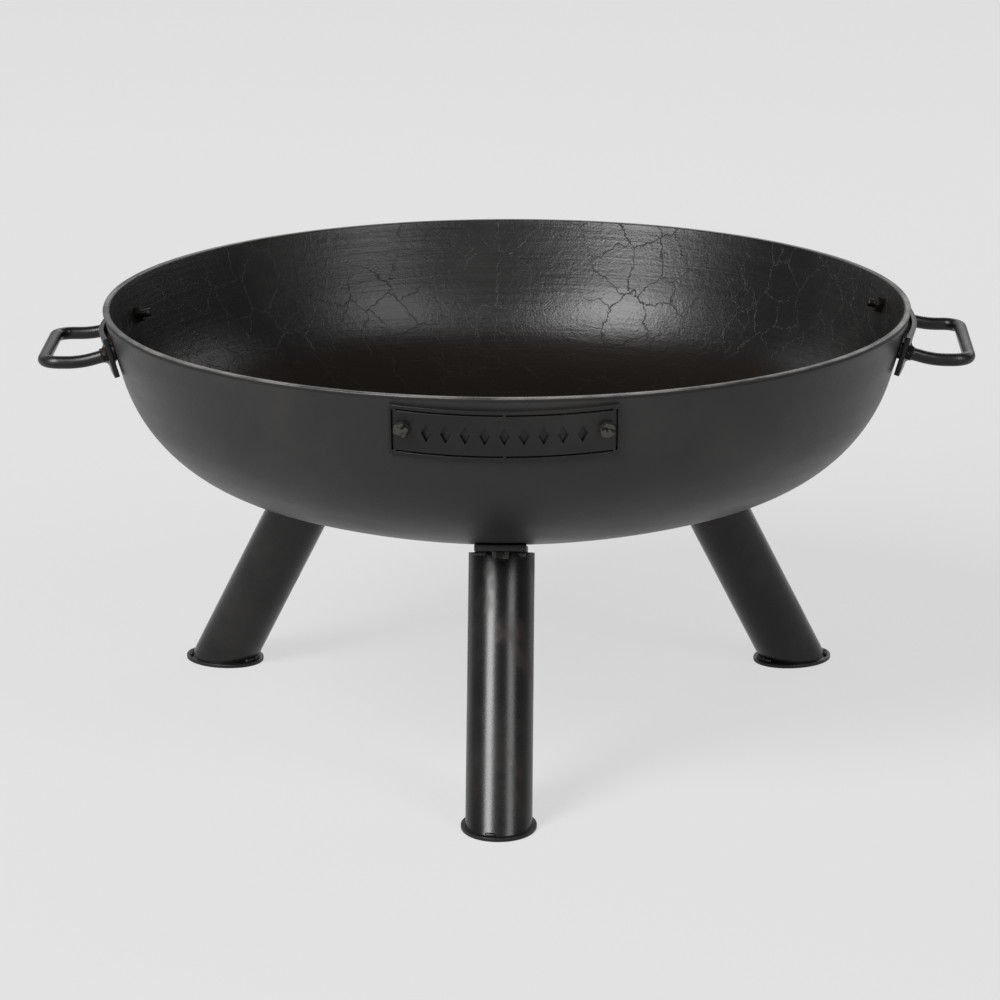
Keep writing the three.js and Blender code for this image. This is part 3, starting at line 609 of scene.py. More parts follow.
# %% The nameplate's sizes
PLATE_LENGTH, PLATE_HEIGHT, PLATE_THICKNESS = 202 * MM, 50 * MM, 3 * MM
PLATE_DROP = 36.5 * MM
FRAME_END, FRAME_EDGE = 3 * MM, 4.3 * MM
SLOT, BRIDGE = 1.8 * MM, 2.4 * MM
LOZENGES, LOZENGE_PITCH = 9, 17 * MM
LOZENGE_WIDTH, LOZENGE_HEIGHT = 9 * MM, 18 * MM
CUT_EDGE = 0.25 * MM

slot_end = PLATE_LENGTH / 2 - FRAME_END
slot_level = PLATE_HEIGHT / 2 - FRAME_EDGE
long_slot_end = slot_end - SLOT / 2 - BRIDGE


def in_frame_slot(point):
    x, z = abs(point.x), abs(point.z)
    in_end_slot = abs(x - slot_end) < SLOT / 2 and z < slot_level
    in_long_slot = abs(z - slot_level) < SLOT / 2 and BRIDGE / 2 < x < long_slot_end
    return in_end_slot or in_long_slot


def lozenge_centres():
    first = -(LOZENGES - 1) / 2 * LOZENGE_PITCH
    return [first + index * LOZENGE_PITCH for index in range(LOZENGES)]


def cut_lozenge(bm, centre):
    """Cuts the four slanting edges of one lozenge and deletes the faces inside them."""
    half_width, half_height = LOZENGE_WIDTH / 2, LOZENGE_HEIGHT / 2
    for x_side in (-1, 1):
        for z_side in (-1, 1):
            near = [f for f in bm.faces if abs(f.calc_center_median().x - centre) < half_width
                    and abs(f.calc_center_median().z) < half_height]
            geometry = {part for f in near for part in (*f.verts, *f.edges, f)}
            bmesh.ops.bisect_plane(
                bm, geom=list(geometry), dist=WELD_DISTANCE / 4,
                plane_co=(centre + x_side * half_width, 0, 0),
                plane_no=(x_side * half_height, 0, z_side * half_width))


def in_lozenge(point):
    for centre in lozenge_centres():
        across = abs(point.x - centre) / (LOZENGE_WIDTH / 2)
        if across + abs(point.z) / (LOZENGE_HEIGHT / 2) < 1:
            return True
    return False


# %% The nameplate itself
bm = bmesh.new()
half_length, half_height = PLATE_LENGTH / 2, PLATE_HEIGHT / 2
bmesh.ops.create_grid(bm, x_segments=1, y_segments=1, size=1)
bmesh.ops.scale(bm, vec=(half_length, half_height, 1), verts=bm.verts)
bmesh.ops.rotate(bm, cent=(0, 0, 0), matrix=Matrix.Rotation(math.radians(90), 3, "X"),
                 verts=bm.verts)
slot_cuts = [slot_end - SLOT / 2, slot_end + SLOT / 2, long_slot_end, BRIDGE / 2]
cut_across(bm, 0, [side * cut for cut in slot_cuts for side in (-1, 1)])
for centre in lozenge_centres():
    cut_across(bm, 0, [centre - LOZENGE_WIDTH / 2, centre, centre + LOZENGE_WIDTH / 2])
level_cuts = [slot_level - SLOT / 2, slot_level + SLOT / 2, LOZENGE_HEIGHT / 2]
cut_across(bm, 2, [side * cut for cut in [*level_cuts, slot_level] for side in (-1, 1)] + [0])
for centre in lozenge_centres():
    cut_lozenge(bm, centre)
holes = [f for f in bm.faces if in_frame_slot(f.calc_center_median())
         or in_lozenge(f.calc_center_median())]
bmesh.ops.delete(bm, geom=holes, context="FACES")
cut_across(bm, 0, steps_between(-half_length, half_length, 50))
made = bmesh.ops.extrude_face_region(bm, geom=bm.faces[:])
front = [part for part in made["geom"] if isinstance(part, bmesh.types.BMVert)]
bmesh.ops.translate(bm, vec=(0, PLATE_THICKNESS, 0), verts=front)
bmesh.ops.recalc_face_normals(bm, faces=bm.faces)
sharp = [e for e in bm.edges if len(e.link_faces) == 2 and e.calc_face_angle(0) > 1.0]
bmesh.ops.bevel(
    bm, geom=sharp, offset=CUT_EDGE, offset_type="OFFSET", segments=1, profile=0.5,
    affect="EDGES", material=-1, clamp_overlap=True)
bmesh.ops.translate(bm, vec=(0, GAP, 0), verts=bm.verts)
bend_round_wall(bm, PLATE_DROP, FRONT)
finished(bm, "name_strip", [nameplate_paint], ["nameplate"])

# %% [markdown]
# ## The handles
#
# Each handle is one length of 12 mm rod, bent cold. It leaves its strip square to the
# wall, sweeps level, turns a tight corner, runs along and comes back the same way. A ring
# of points is pushed along that line: extruded where the rod is straight, spun where it
# bends. That is how the real rod goes through a bender.

# %% Pushing a ring of points along a bent rod
ROD_SIDES, SWEEP_STEPS, CORNER_STEPS = 40, 8, 14
REACH_PAST_RIM, ROD_RISE = 52 * MM, 0.5 * MM
ROD_STRAIGHT, SWEEP_RADIUS, CORNER_RADIUS = 8 * MM, 90 * MM, 16 * MM
ROD_ROOT = 1.2 * MM


class RodBender:
    """Grows a round rod from a ring of edges."""

    def __init__(self, start, direction):
        self.bm = bmesh.new()
        turn = Vector((0, 0, 1)).rotation_difference(direction).to_matrix().to_4x4()
        bmesh.ops.create_circle(
            self.bm, cap_ends=False, segments=ROD_SIDES, radius=ROD_RADIUS,
            matrix=Matrix.Translation(start) @ turn)
        self.ring = self.bm.edges[:]
        self.first = self.ring

    def straight(self, shift):
        made = bmesh.ops.extrude_edge_only(self.bm, edges=self.ring)["geom"]
        points = [part for part in made if isinstance(part, bmesh.types.BMVert)]
        bmesh.ops.translate(self.bm, vec=shift, verts=points)
        moved = set(points)
        self.ring = [part for part in made if isinstance(part, bmesh.types.BMEdge)
                     and set(part.verts) <= moved]

    def bend(self, centre, axis, angle, steps):
        made = bmesh.ops.spin(
            self.bm, geom=self.ring, cent=centre, axis=axis, angle=angle, steps=steps,
            use_merge=False, use_duplicate=False)["geom_last"]
        self.ring = [part for part in made if isinstance(part, bmesh.types.BMEdge)]

    def middle(self):
        """The middle of the ring that grows."""
        points = {vert for edge in self.ring for vert in edge.verts}
        return sum([vert.co for vert in points], Vector()) / len(points)

    def close_ends(self):
        bmesh.ops.edgeloop_fill(self.bm, edges=self.first)
        bmesh.ops.edgeloop_fill(self.bm, edges=self.ring)


# %% One handle rod, bent at azimuth zero and turned to its side
QUARTER_TURN = math.radians(90)
WALL_OUT = Vector((wall_out.x, 0, wall_out.y))
WALL_UP = Vector((-wall_out.y, 0, wall_out.x))


def turn_on_wall(bm, handle):
    """Tilts a shape made at azimuth zero about the strip's middle, then turns it round."""
    middle = wall_point(handle.drop)
    tilt = Matrix.Rotation(handle.tilt, 3, WALL_OUT)
    bmesh.ops.rotate(bm, cent=(middle.x, 0, middle.y), matrix=tilt, verts=bm.verts)
    bmesh.ops.rotate(bm, cent=(0, 0, 0), matrix=Matrix.Rotation(handle.facing, 3, "Z"),
                     verts=bm.verts)


def bent_handle(handle):
    half = HANDLE_WIDTH / 2
    root = wall_point(handle.drop - ROD_RISE, STRIP_FACE - ROD_ROOT)
    rod = RodBender(Vector((root.x, -half, root.y)), WALL_OUT)
    rod.straight(WALL_OUT * (ROD_STRAIGHT + ROD_ROOT))
    sweep_start = rod.middle()
    rod.bend(sweep_start + WALL_UP * SWEEP_RADIUS, (0, 1, 0), -WALL_LEAN, SWEEP_STEPS)
    sweep_end = rod.middle()
    corner_x = RIM_RADIUS + REACH_PAST_RIM - CORNER_RADIUS
    rod.straight(Vector((corner_x - sweep_end.x, 0, 0)))
    inwards = Vector((0, CORNER_RADIUS, 0))
    rod.bend(rod.middle() + inwards, (0, 0, 1), QUARTER_TURN, CORNER_STEPS)
    rod.straight(Vector((0, HANDLE_WIDTH - 2 * CORNER_RADIUS, 0)))
    towards_bowl = Vector((-CORNER_RADIUS, 0, 0))
    rod.bend(rod.middle() + towards_bowl, (0, 0, 1), QUARTER_TURN, CORNER_STEPS)
    rod.straight(Vector((sweep_end.x - corner_x, 0, 0)))
    rod.bend(rod.middle() + Vector((0, 0, SWEEP_RADIUS)), (0, 1, 0), WALL_LEAN, SWEEP_STEPS)
    rod.straight(-WALL_OUT * (ROD_STRAIGHT + ROD_ROOT))
    rod.close_ends()
    turn_on_wall(rod.bm, handle)
    return rod.bm


for handle in HANDLES:
    finished(bent_handle(handle), f"rod_{handle.side}", [handle_paint],
             [f"handle_rod_{handle.side}"])

# %% [markdown]
# ## Welds
#
# A fillet weld fills the corner between two pieces with a small concave slope. Round the
# rod it is a spun outline. Two noises make it look laid by hand: one gives the row of
# ripples that a weld pool leaves, the other makes the bead a little thicker here and
# thinner there.

# %% A fillet weld round each rod root
FILLET_HEIGHT, FILLET_WIDTH = 6.5 * MM, 6.0 * MM
FILLET_STEPS, FILLET_SINK, INNER_SHARE = 8, 0.4 * MM, 0.7
RIPPLES, RIPPLE_SHARE, LUMP_SHARE = 15, 0.05, 0.22


def fillet_outline():
    """From the strip in towards the rod, up the concave slope and back inside the rod."""
    slope = []
    for step in range(FILLET_STEPS + 1):
        angle = math.radians(90) * step / FILLET_STEPS
        radius = ROD_RADIUS + FILLET_WIDTH * (1 - math.sin(angle))
        slope.append((radius, FILLET_HEIGHT * (1 - math.cos(angle))))
    inner = ROD_RADIUS * INNER_SHARE
    return [(inner, -FILLET_SINK), (slope[0][0], -FILLET_SINK), *slope, (inner, FILLET_HEIGHT)]


def rod_fillet(handle, across, seed):
    """A lumpy fillet, seated on the bowed strip at one rod root."""
    bm = spun(fillet_outline(), 72, closed=True)
    for vert in bm.verts:
        reach = math.hypot(vert.co.x, vert.co.y)
        if reach < ROD_RADIUS * 0.9:
            continue
        angle = math.atan2(vert.co.y, vert.co.x)
        pool = RIPPLE_SHARE * math.sin(angle * RIPPLES + 3 * vert.co.z / MM * 0.2)
        lump = LUMP_SHARE * noise.noise(vert.co * 160 + Vector((seed, 0, 0)))
        away = (reach - ROD_RADIUS) * (1 + pool + lump) + ROD_RADIUS * (1 + pool * 0.3)
        vert.co.x *= away / reach
        vert.co.y *= away / reach
        vert.co.z *= 1 + lump
    turn = Vector((0, 0, 1)).rotation_difference(WALL_OUT)
    root = wall_point(handle.drop - ROD_RISE)
    for vert in bm.verts:
        point = turn @ vert.co + Vector((root.x, across, root.y))
        face = wall_point(0, STRIP_FACE + bow(point.y))
        level_radius = face.x - (face.y - point.z) * math.tan(WALL_LEAN)
        sag = level_radius - math.sqrt(max(level_radius ** 2 - point.y ** 2, 0))
        vert.co = point + WALL_OUT * (STRIP_FACE + bow(point.y) - sag * wall_out.x)
    turn_on_wall(bm, handle)
    return bm


for handle in HANDLES:
    for end, way in handle.ends():
        bm = rod_fillet(handle, way * HANDLE_WIDTH / 2, 3.7 * way + handle.facing)
        finished(bm, f"weld_rod_{handle.side}_{end}", [handle_paint])

# %% [markdown]
# ## Bolts and nuts
#
# One size of hexagon bolt holds everything. A real hexagon head is turned to a cone at
# its top before the flats are cut, which leaves the curved lines at its corners. The
# same order works here: spin the chamfered disc first, then slice six flats off it with
# planes. The thread is a spun zigzag.

# %% Plated steel for the fasteners
PLATING = (0.095, 0.088, 0.079, 1)
PLATING_DULL = (0.045, 0.041, 0.036, 1)
PLATING_DARK = (0.014, 0.012, 0.0105, 1)


def plated_finish(name, dirty):
    """Zinc plating under dirt. `dirty` is how much of it is covered, from 0 to 1."""
    finish = Finish(name)
    cloud = finish.noise(300, 4, 0.6)
    clean = 0.72 - dirty * 0.4
    dirt = finish.between(finish.noise(210, 3, 0.6), clean, clean + 0.08)
    colour = finish.mixed(cloud, PLATING_DULL, PLATING)
    colour = finish.mixed(dirt, colour, PLATING_DARK)
    gloss = 0.28 + dirt * 0.14 + (cloud - 0.5) * 0.2
    normal = finish.bump(finish.noise(900, 2, 0.5), 0.00005)
    return finish.ended(finish.surface(colour, gloss, normal, metallic=0.85))


bright_plating = plated_finish("bright_plating", 0.45)
rusty_plating = plated_finish("rusty_plating", 0.92)

# %% Bolt and nut shapes
BOLT_RADIUS = 4 * MM
HEAD_HEIGHT, NUT_HEIGHT = 5.3 * MM, 6.8 * MM
THREAD_PITCH, THREAD_DEPTH = 1.25 * MM, 0.65 * MM
CHAMFER = math.radians(30)
corner_radius = FLATS / math.sqrt(3)
corner_fall = (corner_radius - FLATS / 2) * math.tan(CHAMFER)
BLANK_RADIUS, CHAMFER_START = corner_radius * 1.02, FLATS * 0.48


def slice_flats(bm):
    """Slices six flats off a spun disc and closes the cuts."""
    for index in range(6):
        angle = math.radians(60 * index + 30)
        way = Vector((math.cos(angle), math.sin(angle), 0))
        cut = bmesh.ops.bisect_plane(
            bm, geom=bm.verts[:] + bm.edges[:] + bm.faces[:], dist=WELD_DISTANCE / 4,
            plane_co=way * FLATS / 2, plane_no=way, clear_outer=True)["geom_cut"]
        edges = [part for part in cut if isinstance(part, bmesh.types.BMEdge)]
        bmesh.ops.edgeloop_fill(bm, edges=edges)


def thread_outline(start, end):
    """A zigzag from one height down to another, ending in a small chamfer."""
    points = []
    height = start
    while height - THREAD_PITCH > end:
        points.append((BOLT_RADIUS, height - THREAD_PITCH * 0.10))
        points.append((BOLT_RADIUS - THREAD_DEPTH, height - THREAD_PITCH * 0.45))
        points.append((BOLT_RADIUS - THREAD_DEPTH, height - THREAD_PITCH * 0.60))
        points.append((BOLT_RADIUS, height - THREAD_PITCH * 0.95))
        height -= THREAD_PITCH
    return points + [(BOLT_RADIUS * 0.8, end), (0, end)]


def hex_head():
    top = HEAD_HEIGHT
    disc = [(0, 0), (BLANK_RADIUS, 0), (BLANK_RADIUS, top - corner_fall),
            (CHAMFER_START, top), (0, top)]
    bm = spun(disc, 48)
    slice_flats(bm)
    return bm


def bolt(shank):
    """A bolt with its head on the XY plane and its threaded shank below."""
    bm = hex_head()
    zigzag = spun([(0, 0), (BOLT_RADIUS, 0), *thread_outline(0, -shank)], 32)
    joined = bpy.data.meshes.new("shank")
    zigzag.to_mesh(joined)
    zigzag.free()
    bm.from_mesh(joined)
    bpy.data.meshes.remove(joined)
    return bm


def hexagon_nut():
    """A nut that stands up from the XY plane, chamfered at its top and at its bore."""
    bore, top = BOLT_RADIUS + 0.1 * MM, NUT_HEIGHT
    ring = [(bore, 0.4 * MM), (bore + 0.5 * MM, 0), (BLANK_RADIUS, 0),
            (BLANK_RADIUS, top - corner_fall), (CHAMFER_START, top),
            (bore + 0.5 * MM, top), (bore, top - 0.4 * MM)]
    bm = spun(ring, 48, closed=True)
    bmesh.ops.triangulate(bm, faces=bm.faces[:])
    slice_flats(bm)
    return bm


# %% Where the bolts go on the wall
PLATE_BOLTS, PLATE_BOLT_DROP = 178 * MM, 33.5 * MM
HANDLE_TIP, PLATE_TIP = 8 * MM, 3 * MM
SPACER_RADIUS, SPACER_CHAMFER = 8.5 * MM, 0.3 * MM


def bolt_line(drop, along, facing):
    """Point on the wall and way out for a bolt placed on an unrolled strip."""
    apex = wall_point(drop).x / math.sin(WALL_LEAN)
    turn = facing + math.atan2(along, apex) / math.sin(WALL_LEAN)
    foot = wall_point(drop - (math.hypot(apex, along) - apex))
    across = Vector((math.cos(turn), math.sin(turn), 0))
    place = across * foot.x + Vector((0, 0, foot.y))
    out = across * wall_out.x + Vector((0, 0, wall_out.y))
    return place, out


def aimed(bm, place, direction):
    turn = Vector((0, 0, 1)).rotation_difference(direction).to_matrix().to_4x4()
    bmesh.ops.transform(bm, matrix=Matrix.Translation(place) @ turn, verts=bm.verts)


def wall_bolt_and_nut(name, line, strip_face, tip, finish):
    """A bolt through strip and wall and its nut inside. `#` in the name becomes each."""
    place, out = line
    head_seat, nut_seat = strip_face + GAP, BOWL_WALL + GAP
    bm = bolt(head_seat + nut_seat + NUT_HEIGHT + tip)
    aimed(bm, place + out * head_seat, out)
    finished(bm, f"hex_{name.replace('#', 'bolt')}", [finish],
             [name.replace("#", "bolt")], turn_faces=False)
    bm = hexagon_nut()
    aimed(bm, place - out * nut_seat, -out)
    finished(bm, f"hex_{name.replace('#', 'nut')}", [rusty_plating],
             [name.replace("#", "nut")], turn_faces=False)


def spacer(line):
    """The ring that holds a handle strip off the wall, round its bolt."""
    place, out = line
    bore, top, cut = BOLT_RADIUS + GAP, SPACER_THICKNESS, SPACER_CHAMFER
    ring = [(bore, 0), (SPACER_RADIUS - cut, 0), (SPACER_RADIUS, cut),
            (SPACER_RADIUS, top - cut), (SPACER_RADIUS - cut, top), (bore, top)]
    bm = spun(ring, 48, closed=True)
    aimed(bm, place + out * GAP, out)
    return bm


for handle in HANDLES:
    for end, way in handle.ends():
        place = handle.tilted(way * BOLT_ALONG, BOLT_RISE)
        line = bolt_line(handle.drop - place.y, place.x, handle.facing)
        wall_bolt_and_nut(f"handle_#_{handle.side}_{end}", line, STRIP_FACE, HANDLE_TIP,
                          rusty_plating)
        node = f"handle_spacer_{handle.side}_{end}"
        finished(spacer(line), f"ring_{node}", [rusty_plating], [node])
for side, way in (("left", -1), ("right", 1)):
    line = bolt_line(PLATE_BOLT_DROP, way * PLATE_BOLTS / 2, FRONT)
    wall_bolt_and_nut(f"nameplate_#_{side}", line, GAP + PLATE_THICKNESS, PLATE_TIP,
                      bright_plating)

# %% [markdown]
# ## The legs
#
# Two inch tube, cut level where it meets its foot plate and at a slant where it meets
# the bar that is bolted under the bowl. The tube starts upright, is leaned over and is
# then cut by two planes, as it would be on a saw.

# %% Sizes of a leg
LEG_TURN = {"front": math.radians(-91), "right": math.radians(31.5),
            "left": math.radians(148.5)}
LEG_LEAN, TUBE_INSET = math.radians(29.4), 20.95 * MM
TUBE_RADIUS, TUBE_WALL, TUBE_SIDES = 30.15 * MM, 3.9 * MM, 96
SAW_WASTE = 100 * MM
FOOT_THICKNESS, FOOT_SIDES, FOOT_ENDS = 3.5 * MM, 4 * MM, 6 * MM
CONTACT_RADIUS = 230 * MM
BAR_WIDTH, BAR_THICKNESS, BAR_OUTREACH = 47 * MM, 6 * MM, 27 * MM
LEG_BOLT_OUTREACH, LEG_TIP = 14 * MM, 2 * MM

slope = math.asin(CONTACT_RADIUS / DISH_RADIUS)
contact = Vector((CONTACT_RADIUS, dish_centre.y - DISH_RADIUS * math.cos(slope)))
uphill = Vector((math.cos(slope), math.sin(slope)))
below = Vector((math.sin(slope), -math.cos(slope)))
bar_underside = GAP + BAR_THICKNESS


def leg_point(up, down):
    """Radius and height of a place up the slope from the leg's middle and down off it."""
    return contact + uphill * up + below * down


tube_up = -TUBE_INSET
mitre = leg_point(tube_up, bar_underside + GAP)
FLOOR_RADIUS = mitre.x + mitre.y * math.tan(LEG_LEAN)
mitre_half = TUBE_RADIUS / math.cos(LEG_LEAN - slope)
bar_inner, bar_outer = tube_up - mitre_half, tube_up + mitre_half + BAR_OUTREACH
leg_bolt_up = tube_up + mitre_half + LEG_BOLT_OUTREACH
print("leg slope", round(math.degrees(slope), 1), "degrees, bar",
      round((bar_outer - bar_inner) / MM, 1), "mm long")


def to_bar(up, down):
    """A matrix from the bar's own frame, X uphill and Z up off it, to the leg's frame."""
    place = leg_point(up, down)
    move = Matrix.Translation((place.x, 0, place.y))
    return move @ Matrix.Rotation(-slope, 4, "Y")


# %% Tube steel: a smoother, shinier paint with rust spots
def tube_paint(name):
    finish = Finish(name)
    cloud = finish.noise(11, 4, 0.6)
    blotch = finish.noise(34, 3, 0.55, finish.stretched((1, 1, 0.6)))
    fleck = finish.noise(260, 2, 0.5)
    rust = finish.between(blotch, 0.54, 0.78)
    chips = finish.between(fleck, 0.74, 0.80) * 0.4
    colour = finish.mixed(finish.between(cloud, 0.4, 0.7), PAINT_BLACK, PAINT_RUBBED)
    colour = finish.mixed(finish.larger(rust, chips), colour, RUST_BROWN)
    gloss = 0.27 + (cloud - 0.5) * 0.10 + rust * 0.2 + (fleck - 0.5) * 0.05
    along = finish.noise(60, 3, 0.5, finish.stretched((1, 1, 0.35)))
    normal = finish.bump(along + finish.noise(420, 2, 0.5) * 0.5, 0.00005)
    return finish.ended(finish.surface(colour, gloss, normal))


leg_paint = tube_paint("leg_paint")


# %% One leg: tube, foot plate, bar, bolt and nut
def sawn(bm, place, away):
    """Cuts a tube with a plane and returns the two rings of cut edges."""
    cut = bmesh.ops.bisect_plane(
        bm, geom=bm.verts[:] + bm.edges[:] + bm.faces[:], dist=WELD_DISTANCE / 4,
        plane_co=place, plane_no=away, clear_outer=True)["geom_cut"]
    return [part for part in cut if isinstance(part, bmesh.types.BMEdge)]


def leg_tube():
    bm = bmesh.new()
    for radius in (TUBE_RADIUS, TUBE_RADIUS - TUBE_WALL):
        ring = bmesh.ops.create_circle(bm, segments=TUBE_SIDES, radius=radius)["verts"]
        edges = [edge for edge in bm.edges if edge.verts[0] in ring]
        pushed = bmesh.ops.extrude_edge_only(bm, edges=edges)["geom"]
        points = [part for part in pushed if isinstance(part, bmesh.types.BMVert)]
        bmesh.ops.translate(bm, vec=(0, 0, RIM_HEIGHT), verts=points)
    bmesh.ops.translate(bm, vec=(0, 0, -SAW_WASTE), verts=bm.verts)
    bmesh.ops.rotate(bm, cent=(0, 0, 0), matrix=Matrix.Rotation(-LEG_LEAN, 3, "Y"),
                     verts=bm.verts)
    bmesh.ops.translate(bm, vec=(FLOOR_RADIUS, 0, 0), verts=bm.verts)
    floor_cut = sawn(bm, (0, 0, FOOT_THICKNESS), (0, 0, -1))
    top = (mitre.x, 0, mitre.y)
    bar_cut = sawn(bm, top, (-below.x, 0, -below.y))
    bmesh.ops.bridge_loops(bm, edges=[edge for edge in floor_cut if edge.is_valid])
    bmesh.ops.bridge_loops(bm, edges=bar_cut)
    return bm


def foot_plate():
    bm = bmesh.new()
    made = bmesh.ops.create_circle(bm, cap_ends=True, segments=96, radius=1)["verts"]
    bmesh.ops.scale(bm, verts=made, vec=(
        TUBE_RADIUS / math.cos(LEG_LEAN) + FOOT_ENDS, TUBE_RADIUS + FOOT_SIDES, 1))
    pushed = bmesh.ops.extrude_face_region(bm, geom=bm.faces[:])["geom"]
    points = [part for part in pushed if isinstance(part, bmesh.types.BMVert)]
    bmesh.ops.translate(bm, vec=(0, 0, FOOT_THICKNESS), verts=points)
    bmesh.ops.recalc_face_normals(bm, faces=bm.faces)
    edges = [edge for edge in bm.edges if edge.calc_face_angle(0) > 1.0]
    bmesh.ops.bevel(bm, geom=edges, offset=0.6 * MM, offset_type="OFFSET", segments=3,
                    profile=0.5, affect="EDGES", material=-1)
    centre = FLOOR_RADIUS - FOOT_THICKNESS * math.tan(LEG_LEAN)
    bmesh.ops.translate(bm, vec=(centre, 0, 0), verts=bm.verts)
    return bm


def leg_bar():
    bm = flat_bar(bar_outer - bar_inner, BAR_WIDTH, BAR_THICKNESS, 0.8 * MM)
    bmesh.ops.translate(bm, vec=(0, -BAR_WIDTH / 2, 0), verts=bm.verts)
    middle = GAP + BAR_THICKNESS / 2
    bmesh.ops.transform(bm, matrix=to_bar((bar_outer + bar_inner) / 2, middle), verts=bm.verts)
    return bm


def leg_bolt():
    foot = leg_point(leg_bolt_up, 0)
    to_centre = dish_centre - foot
    inside_radius = DISH_RADIUS - BOWL_WALL
    across, along = to_centre.dot(uphill), -to_centre.dot(below)
    seat = along - math.sqrt(inside_radius ** 2 - across ** 2) + 2 * GAP
    bm = bolt(seat + bar_underside + GAP + NUT_HEIGHT + LEG_TIP)
    bmesh.ops.transform(bm, matrix=to_bar(leg_bolt_up, -seat), verts=bm.verts)
    return bm


def leg_nut():
    bm = hexagon_nut()
    turn = Matrix.Rotation(math.radians(180), 4, "X")
    spin = Matrix.Rotation(math.radians(30), 4, "Z")
    place = to_bar(leg_bolt_up, bar_underside + GAP)
    bmesh.ops.transform(bm, matrix=place @ spin @ turn, verts=bm.verts)
    return bm


for leg, azimuth in LEG_TURN.items():
    for make, kind, finish, slot in (
        (leg_tube, "tube", leg_paint, "leg_steel"),
        (foot_plate, "foot_plate", plate_paint, "plate_steel"),
        (leg_bar, "plate", plate_paint, "plate_steel"),
        (leg_bolt, "bolt", rusty_plating, "fastener_steel"),
        (leg_nut, "nut", rusty_plating, "fastener_steel"),
    ):
        bm = make()
        bmesh.ops.rotate(bm, cent=(0, 0, 0), matrix=Matrix.Rotation(azimuth, 3, "Z"),
                         verts=bm.verts)
        node = f"foot_plate_{leg}" if kind == "foot_plate" else f"leg_{kind}_{leg}"
        finished(bm, f"fine_{node}", [finish], [node], kind not in ("bolt", "nut"))

# %% [markdown]
# ## Tack welds on the legs
#
# The legs are tacked to their plates with short, lumpy beads. A bead is a few squashed
# balls strung along a line, melted into one skin by a voxel remesh, which is close to
# what happens to the metal. The line follows the tube's edge between two angles, where
# zero is the side away from the middle of the bowl.
#
# `noise_vector`, which dents the balls, starts from the clock unless it is given a seed.
# So it is given one, and every run makes the same beads.

# %% Lumps of weld
SWELL_SHARE, DENT_SHARE, DENT_SCALE = 0.25, 0.18, 500
VOXELS_PER_RADIUS = 7
DENT_SEED = 7
noise.seed_set(DENT_SEED)


def tack(name, points, radius, seed):
    """A bead through the given points, as one skin."""
    bm = bmesh.new()
    for index, point in enumerate(points):
        swell = radius * (1 + SWELL_SHARE * noise.noise(Vector((index * 1.7 + seed, seed, 0))))
        made = bmesh.ops.create_icosphere(
            bm, subdivisions=3, radius=swell, matrix=Matrix.Translation(point))["verts"]
        for vert in made:
            dent = noise.noise_vector(vert.co * DENT_SCALE + Vector((seed, 0, 0)))
            vert.co += dent * radius * DENT_SHARE
    piece = finished(bm, name, [plate_paint])
    melt = piece.modifiers.new("melt", "REMESH")
    melt.mode = "VOXEL"
    melt.voxel_size = radius / VOXELS_PER_RADIUS
    melt.use_smooth_shade = True
    bpy.context.view_layer.update()
    whole = bpy.data.meshes.new_from_object(piece.evaluated_get(
        bpy.context.evaluated_depsgraph_get()))
    piece.modifiers.clear()
    piece.data = whole
    return piece


# %% Where the tacks go: start and end in degrees, balls, and their radius in millimetres
TACK_PROUD, TACK_DROP = 0.8 * MM, 1.6 * MM
FOOT_PROUD, FOOT_INSET, FOOT_RISE = 0.5 * MM, 2 * MM, 1.2 * MM
TOP_TACKS = [(-46, -28, 5, 2.6), (34, 38, 2, 3.8), (140, 172, 8, 2.6), (205, 230, 7, 2.3)]
FOOT_TACKS = {"front": [(-18, -8, 4, 2.2), (160, 200, 11, 2.2)],
              "left": [(162, 196, 10, 2.6), (20, 40, 7, 2.0)],
              "right": [(-196, -162, 10, 2.6), (-40, -20, 7, 2.0)]}


def along_tube(azimuth, place, start, end, count):
    """Points round a tube between two angles, each turned to the leg's side of the bowl."""
    turn = Matrix.Rotation(azimuth, 3, "Z")
    steps = [start + (end - start) * index / max(count - 1, 1) for index in range(count)]
    return [turn @ place(math.radians(step)) for step in steps]


def tube_top_edge(angle):
    """Just below the plate, on the tube's outside."""
    up = tube_up + (mitre_half + TACK_PROUD) * math.cos(angle)
    place = leg_point(up, bar_underside + TACK_DROP)
    return Vector((place.x, (TUBE_RADIUS + TACK_PROUD) * math.sin(angle), place.y))


def tube_foot_edge(angle):
    """Just above the foot plate, on the tube's outside."""
    reach = (TUBE_RADIUS + FOOT_PROUD) / math.cos(LEG_LEAN) * math.cos(angle)
    across = (TUBE_RADIUS + FOOT_PROUD) * math.sin(angle)
    return Vector((FLOOR_RADIUS + reach - FOOT_INSET, across, FOOT_THICKNESS + FOOT_RISE))


for leg, azimuth in LEG_TURN.items():
    for index, (*stretch, radius) in enumerate(TOP_TACKS):
        points = along_tube(azimuth, tube_top_edge, *stretch)
        tack(f"tack_top_{leg}_{index}", points, radius * MM, azimuth + index)
    for index, (*stretch, radius) in enumerate(FOOT_TACKS[leg]):
        points = along_tube(azimuth, tube_foot_edge, *stretch)
        tack(f"tack_foot_{leg}_{index}", points, radius * MM, azimuth - index)

# %% [markdown]
# ## Camera
#
# A long lens from four metres away, a little above the rim, looking slightly down.

